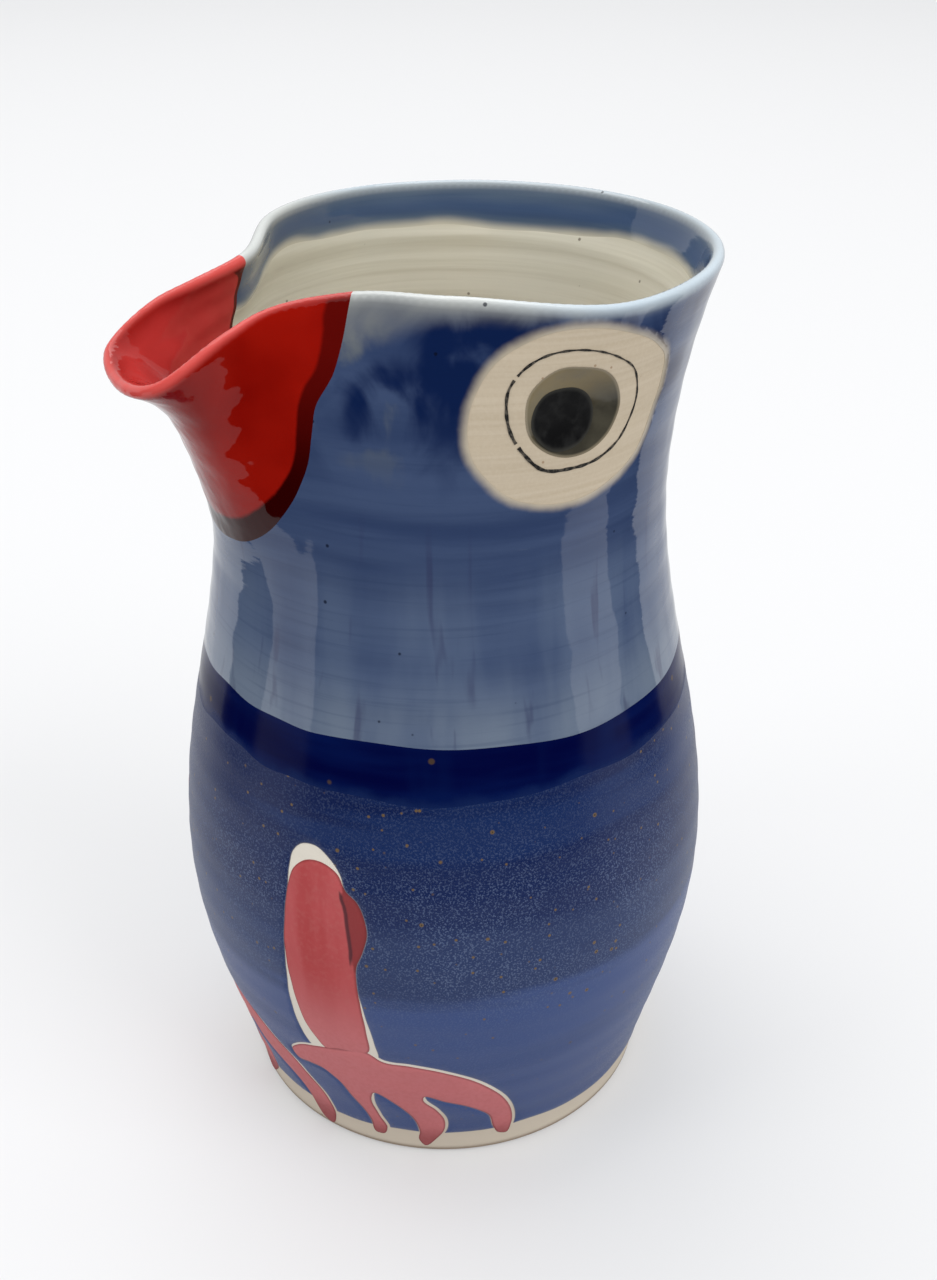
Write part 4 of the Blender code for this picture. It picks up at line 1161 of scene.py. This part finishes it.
def eye_finish():
    """Olive glaze pooled in the hollow; the grey toward the bottom is painted shade, the darker reflection on
    the hollow's lower side.
    """
    made = Finish("eye_olive", 0.14)
    cloud = made.noise(160.0, 3.0)
    # Painted shade: grey toward the hollow's lower side
    made.colour = made.mix(made.tone("low"), EYE_OLIVE, EYE_PAINTED_SHADE)
    made.over(made.ramp(cloud, 0.4, 0.7, 0.0, 0.4), EYE_CLOUD)
    made.over(made.ramp(made.tone("bare"), *POOL_EDGE, 0.0, 0.6), EYE_EDGE)
    made.bump(cloud, 0.00015, 0.4)
    return made.done()


def pupil_finish():
    """Black pigment, dusty where it lies thin."""
    made = Finish("pupil_black", 0.55, 0.2)
    dust = made.noise(500.0, 3.0)
    made.colour = made.mix(made.ramp(dust, 0.4, 0.75), PUPIL_BLACK, PUPIL_DUST)
    made.over(made.ramp(made.tone("bare"), *PUPIL_FADE, 0.0, 0.6), PUPIL_EDGE)
    made.bump(dust, 0.00010, 0.5)
    return made.done(Roughness=made.ramp(dust, 0.3, 0.7, 0.45, 0.7))


def line_finish():
    """A drawn black line, dry and grainy."""
    made = Finish("eye_line", 0.8)
    dust = made.noise(1200.0)
    made.colour = made.mix(made.ramp(dust, 0.42, 0.7), LINE_BLACK, LINE_DUST)
    made.bump(dust, 0.00008, 0.5)
    return made.done()


def seam_side():
    """Up the outside of the beak's left seam, over the lip and down inside."""
    angles = np.radians([angle for angle, _ in SEAM])
    outer = map_places(angles, np.array([height for _, height in SEAM]) * MM)
    outer = np.concatenate((outer, [(outer[-1, 0], RIM_HEIGHT)]))
    before = 2.0 * outer[:1] - outer[1:2]
    after = 2.0 * outer[-1:] - outer[-2:-1]
    rise = Curve(np.concatenate((before, outer, after))).at(np.linspace(0.0, 1.0, SEAM_POINTS))
    lip = np.linspace(RIM_HEIGHT, LIP_END, SEAM_LIP_POINTS)[1:-1]
    over = np.stack((np.full(len(lip), rise[-1, 0]), lip), axis=-1)
    fall = rise[::-1] * (1.0, -1.0) + (0.0, RIM_HEIGHT + LIP_END)
    return np.concatenate((rise, over, fall))


def seam_loop():
    """Round the beak on the map; the far seam stands nearer to the tip."""
    side = seam_side()
    return np.concatenate((side, mirrored(side * (FAR_SEAM, 1.0))))


def seam_walls(patch, loop):
    """Faces across the wall's thickness along the seam, from its outer to its inner edge."""
    tree = tree_of(patch.places)
    ring = [tree.find((x, y, 0.0))[1] for x, y in loop]
    half = len(ring) // 2
    left = ring[:half]
    right = ring[half:]
    faces = []
    for path in (left, right):
        faces += [[path[i], path[i + 1], path[-2 - i], path[-1 - i]] for i in range(half // 2 - 1)]
    faces.append([left[0], left[-1], right[0], right[-1]])
    return faces


EYE_LOOPS = both_eyes(EYE_PATCH, LOOP_STEP)
HOLLOW_LOOPS = both_eyes(HOLLOW, EYE_STEP)
PUPIL_LOOPS = both_eyes(PUPIL, EYE_STEP)
SEAM_LOOP = seam_loop()
FOOT_LINE = border_line(FOOT_BAND, FOOT_WAVES)
LOW_LINE = border_line(OVERLAP_BOTTOM, BOTTOM_WAVES)
HIGH_LINE = border_line(OVERLAP_TOP, TOP_WAVES)
BAND_LINE = border_line(BAND_BOTTOM, BAND_WAVES)
BAND_LINE[:, 1] += BAND_DIP * np.exp(-((BAND_LINE[:, 0] / MAP_WIDTH + BAND_DIP_PLACE) / BAND_DIP_WIDTH) ** 2)
RIGHT_LEG_ANGLE = LEFT_LEG_ANGLE - FEET_SPACING / float(turned_radius(FEET_LEVEL))
LEGS = {"left": (LEFT_LEG_ANGLE, FOOT_RED), "right": (RIGHT_LEG_ANGLE, stretched(FOOT_RED))}


def line_height(line, places):
    return np.interp(places[:, 0], line[:, 0], line[:, 1])


def between(lower, upper, holes):
    """A test for places above one line, below another and outside the holes."""
    def keep(places):
        inside = (places[:, 1] > line_height(lower, places)) & (places[:, 1] < line_height(upper, places))
        return inside & ~in_any(places, holes)
    return keep


def within(loop):
    return lambda places: inside_loop(places, loop)


def loop_patch(loop):
    """The patch inside a loop, with each place's distance from the loop."""
    patch = Patch([(loop, True, True)], within(loop))
    return patch, distances(patch.places, loop)


def make_body(material):
    lines = [(SEAM_LOOP, True, False)] + [(loop, True, True) for loop in HOLLOW_LOOPS]
    patch = Patch(lines, lambda places: ~inside_loop(places, SEAM_LOOP))
    faces = patch.faces.tolist() + seam_walls(patch, SEAM_LOOP)
    make_piece("jug_body", clay(patch.places)[0], faces, material, "thrown_body", {})
    beak = Patch([(SEAM_LOOP, True, False)], within(SEAM_LOOP))
    faces = beak.faces.tolist() + seam_walls(beak, SEAM_LOOP)
    make_piece("beak_body", clay(beak.places)[0], faces, material, "beak_spout", {})


def make_liner(material):
    top = border_line(MAP_TOP, ())
    patch = Patch([(BAND_LINE, False, False), (SEAM_LOOP, True, False)],
                  between(BAND_LINE, top, [SEAM_LOOP]))
    make_coat("liner_coat", patch, GLAZE, material, "liner_glaze", {})


def make_neck(material):
    lines = [(HIGH_LINE, False, False), (BAND_LINE, False, False), (SEAM_LOOP, True, False)]
    lines += [(loop, True, True) for loop in EYE_LOOPS]
    patch = Patch(lines, between(HIGH_LINE, BAND_LINE, [SEAM_LOOP] + EYE_LOOPS))
    bare = distances(patch.places, np.concatenate(EYE_LOOPS))
    tones = neck_tones(patch.places)
    tones["bare"] = bare / MM
    make_coat("neck_coat", patch, edge_lift(GLAZE, bare), material, "neck_glaze", tones)


def neck_tones(places):
    """How far below the lip's crest the glaze lies, where it is washed thin, and the brush dabs."""
    u = np.abs(places[:, 0]) / MAP_WIDTH
    along = places[:, 1] / MM
    rise = (places[:, 1] - LIP_MIDDLE) / MM
    tones = {
        "edge": (line_height(BAND_LINE, places) - places[:, 1]) / MM,
        "wash": -rise / np.interp(u, *zip(*WASH_DEPTH)),
        "near": 1.0 - smoothstep(*WASH_END, rise),
        "crest": CREST_SHARE * np.exp(-((rise + CREST_DROP) / CREST_WIDTH) ** 2),
        "outer": 1.0 - smoothstep(*LIP_TURN, rise),
        "back": smoothstep(*BACK_START, u),
    }
    for name, dabs in (("dab", DARK_DABS), ("pale", PALE_DABS)):
        spots = [np.exp(-((u - x) * MAP_WIDTH / MM / w) ** 2 - ((along - z) / h) ** 2) for x, z, w, h in dabs]
        tones[name] = np.minimum(1.0, DAB_PEAK * np.max(spots, axis=0))
    return tones


def make_overlap(material):
    patch = Patch([(LOW_LINE, False, False), (HIGH_LINE, False, False)], between(LOW_LINE, HIGH_LINE, []))
    low = (patch.places[:, 1] - line_height(LOW_LINE, patch.places)) / MM
    make_coat("overlap_coat", patch, GLAZE, material, "overlap_glaze", {"low": low})


def leg_windows(angle, foot):
    return [leg_loop(LEG_WINDOW, angle), leg_loop(widened(foot), angle)]


def pools(faces):
    """Which connected pool each face belongs to."""
    owner = np.arange(faces.max() + 1)
    while True:
        lowest = owner[faces].min(axis=1)
        spread = owner.copy()
        np.minimum.at(spread, faces.reshape(-1), np.repeat(lowest, 3))
        if np.array_equal(spread, owner):
            return owner[faces[:, 0]]
        owner = spread[spread]


def make_belly(material):
    """The coat round the legs; pools shut in between toes are pieces of their own."""
    windows = [loop for angle, foot in LEGS.values() for loop in leg_windows(angle, foot)]
    lines = [(FOOT_LINE, False, True), (LOW_LINE, False, False)] + [(loop, True, True) for loop in windows]
    patch = Patch(lines, between(FOOT_LINE, LOW_LINE, windows))
    bare_lines = np.concatenate([FOOT_LINE] + windows)
    owner = pools(patch.faces)
    names, sizes = np.unique(owner, return_counts=True)
    largest = names[np.argmax(sizes)]
    middles = patch.places[patch.faces].mean(axis=1)
    rest = np.ones(len(owner), bool)
    for node, loop in toe_gaps().items():
        chosen = (owner != largest) & inside_loop(middles, loop)
        chosen = np.isin(owner, np.unique(owner[chosen]))
        rest &= ~chosen
        lay_belly(patch.part(chosen), bare_lines, material, node)
    lay_belly(patch.part(rest), bare_lines, material, "belly_glaze")


def lay_belly(patch, bare_lines, material, node):
    bare = distances(patch.places, bare_lines)
    name = node.replace("glaze", "coat")
    make_coat(name, patch, edge_lift(GLAZE, bare), material, node, {"bare": bare / MM})


def toe_gaps():
    """Rough outlines of the places between toes, by the node that stands there."""
    gaps = {}
    for side, (angle, _) in LEGS.items():
        for name, outline in (("rear", REAR_GAP), ("front", FRONT_GAP)):
            outline = stretched(outline) if side == "right" else outline
            gaps[f"{side}_{name}_toe_gap_glaze"] = leg_loop(outline, angle)
    return gaps


def make_beak(material):
    """The strip over the blue, along the seam, is wider at the beak's bottom."""
    patch = Patch([(SEAM_LOOP, True, False)], within(SEAM_LOOP))
    along = patch.places[:, 1]
    bottom = smoothstep(*STRIP_SPREAD, along)
    inner = smoothstep(*BEAK_INSIDE, along)
    width = (STRIP_WIDTH + (STRIP_BOTTOM - STRIP_WIDTH) * bottom) * (1.0 - inner) + STRIP_INSIDE * inner
    tones = {
        "seam": distances(patch.places, SEAM_LOOP) / width,
        "lip": np.abs(along - LIP_MIDDLE) / MM,
        "inner": inner,
    }
    make_coat("beak_coat", patch, GLAZE, material, "beak_glaze", tones)


def make_legs(material):
    for side, (angle, foot) in LEGS.items():
        knob = leg_loop(BUMP, angle)
        for piece, outline in (("leg", LEG_RED), ("foot", foot)):
            patch, bare = loop_patch(leg_loop(outline, angle))
            inside = np.where(inside_loop(patch.places, knob), 1.0, -1.0)
            bump = np.clip(inside * distances(patch.places, knob) / MM, -BUMP_REACH, BUMP_REACH)
            thick = np.zeros(len(bump))
            if piece == "foot":
                thick = TOE_THICK * smoothstep(*TOE_TIP, patch.places[:, 1])
            make_coat(f"{side}_{piece}_slip", patch, edge_lift(PAINT, bare), material, f"{side}_{piece}",
                      {"bare": bare / MM, "thick": thick, "bump": bump})


def make_eyes(olive, black, line):
    for side, flip, pool, pupil in zip(("left", "right"), (1.0, -1.0), HOLLOW_LOOPS, PUPIL_LOOPS):
        patch, bare = loop_patch(pool)
        x, y = eye_place(clay(patch.places)[0])
        # Painted shade: the pool greys toward its lower side
        low = smoothstep(*POOL_SHADE, y - POOL_TILT * x)
        make_coat(f"{side}_eye_pool", patch, edge_lift(GLAZE, bare), olive, f"{side}_eye_glaze",
                  {"bare": bare / MM, "low": low})
        patch, bare = loop_patch(pupil)
        lift = GLAZE + edge_lift(PAINT, bare)
        make_coat(f"{side}_pupil_dot", patch, lift, black, f"{side}_pupil",
                  {"bare": bare / MM})
        make_ring(side, flip, line)


def make_ring(side, flip, material):
    """A hand-drawn line round the eye: uneven, and broken in places."""
    middle = closed_curve(RING).at(np.arange(RING_POINTS) / RING_POINTS)
    out = square_to(loop_steps(middle))
    turn = np.arctan2(middle[:, 1], middle[:, 0])
    half = LINE_HALF + LINE_SWELL * np.cos(turn - LINE_SWELL_TURN) + LINE_WOBBLE * np.sin(LINE_WOBBLES * turn)
    waves = np.sin(GAP_WAVES[0] * turn) + np.sin(GAP_WAVES[1] * turn + GAP_SHIFT)
    drawn = waves + GAP_LEVEL - GAP_SHARE * np.maximum(-np.cos(turn), 0.0) > 0.0
    edges = [eye_places(middle + out * (half * k)[:, None]) * (flip, 1.0) for k in (-1.0, 1.0)]
    sides = [clay(places) for places in edges]
    upper = [point + normal * RING_LIFT for point, normal in sides]
    lower = [point - normal * SINK for point, normal in sides]
    points, faces = trimmed(np.concatenate(upper + lower), ring_faces(drawn))
    make_piece(f"{side}_eye_line", points, faces.tolist(), material, f"{side}_eye_ring", {})


def ring_faces(drawn):
    """Faces of the drawn stretches: top, underside, both sides and the ends."""
    count = len(drawn)
    under = 2 * count
    faces = []
    for i in range(count):
        j = (i + 1) % count
        if not (drawn[i] and drawn[j]):
            continue
        a, b, c, d = i, j, j + count, i + count
        faces += [[a, b, c, d], [a + under, d + under, c + under, b + under]]
        walls = [(b, a), (d, c)]
        if not drawn[i - 1]:
            walls.append((a, d))
        if not drawn[(j + 1) % count]:
            walls.append((c, b))
        faces += [[p, q, q + under, p + under] for p, q in walls]
    return np.array(faces)


def make_object():
    make_body(clay_finish())
    make_liner(liner_finish())
    make_neck(neck_finish())
    make_overlap(overlap_finish())
    make_belly(belly_finish())
    make_beak(beak_finish())
    make_legs(leg_finish())
    make_eyes(eye_finish(), pupil_finish(), line_finish())


def add_camera():
    forward = Vector(CAMERA_FORWARD).normalized()
    level = forward.cross(Vector((0.0, 0.0, 1.0))).normalized()
    upright = level.cross(forward)
    right = level * math.cos(CAMERA_ROLL) + upright * math.sin(CAMERA_ROLL)
    up = right.cross(forward)
    lens = bpy.data.cameras.new("camera")
    lens.sensor_width = SENSOR
    lens.lens = FOCAL_PIXELS * SENSOR / IMAGE_HEIGHT
    camera = add_object("camera", lens)
    turn = Matrix((right, up, -forward)).transposed()
    camera.matrix_world = Matrix.Translation(CAMERA_PLACE) @ turn.to_4x4()
    bpy.context.scene.camera = camera


def add_floor():
    """A pale flat floor; the camera sees it lightened, and it keeps the jug's shadow."""
    half = 0.5 * FLOOR_SIZE
    corners = [(-half, -half, 0.0), (half, -half, 0.0), (half, half, 0.0), (-half, half, 0.0)]
    mesh = bpy.data.meshes.new("floor")
    mesh.from_pydata(corners, [], [(0, 1, 2, 3)])
    made = Finish("pale_floor", FLOOR_ROUGHNESS)
    made.colour = FLOOR_COLOUR
    rays = made.add("LightPath", {}).outputs
    seen = made.math("MAXIMUM", rays["Is Camera Ray"], made.times(rays["Is Glossy Ray"], FLOOR_MIRRORED))
    glow = made.add("Emission", {"Color": WHITE, "Strength": made.times(seen, FLOOR_GLOW)})
    total = made.add("AddShader", {0: made.surface.outputs[0], 1: glow.outputs[0]})
    made.feed(made.nodes["Material Output"], {"Surface": total.outputs[0]})
    mesh.materials.append(made.done())
    floor = add_object("floor", mesh)


def add_flag():
    """Sectors of dark floor, with white gaps between them, and a curved wall behind the camera."""
    sheets = [(sector, (FLAG_NEAR, FLAG_LIFT), (FLAG_FAR, FLAG_LIFT)) for sector in FLAG_FLOORS]
    sheets.append((FLAG_WALL, (FLAG_FAR, 0.0), (FLAG_FAR, FLAG_HEIGHT)))
    row = FLAG_STEPS + 1
    points = []
    faces = []
    for (start, end), *edges in sheets:
        first = len(points)
        turns = FLAG_MIDDLE + np.radians(np.linspace(start, end, row))
        for reach, z in edges:
            points += [(reach * math.cos(turn), reach * math.sin(turn), z) for turn in turns]
        faces += [(i, i + 1, i + row + 1, i + row) for i in range(first, first + FLAG_STEPS)]
    mesh = bpy.data.meshes.new("flag")
    mesh.from_pydata(points, [], faces)
    made = Finish("dark_card", 1.0, 0.0)
    made.colour = BLACK
    mesh.materials.append(made.done())
    flag = add_object("flag", mesh)
    flag.visible_camera = False
    flag.visible_diffuse = False
    flag.visible_shadow = False
    flag.visible_transmission = False


def add_lights():
    world = bpy.data.worlds.new("studio")
    world.use_nodes = True
    sky = world.node_tree.nodes["Background"]
    sky.inputs["Color"].default_value = (*WORLD_COLOUR, 1.0)
    sky.inputs["Strength"].default_value = WORLD_LEVEL
    bpy.context.scene.world = world
    for name, place, size, power in LIGHTS:
        lamp = bpy.data.lights.new(name, "AREA")
        lamp.shape = "RECTANGLE"
        lamp.size = size
        lamp.size_y = size
        lamp.energy = power
        holder = add_object(name, lamp)
        holder.location = place
        holder.visible_glossy = name == MIRRORED_LIGHT
        aim = Vector(LIGHT_TARGET) - Vector(place)
        holder.rotation_euler = aim.to_track_quat("-Z", "Y").to_euler()


make_object()
add_camera()
add_floor()
add_flag()
add_lights()
bpy.context.scene.view_settings.view_transform = "Standard"
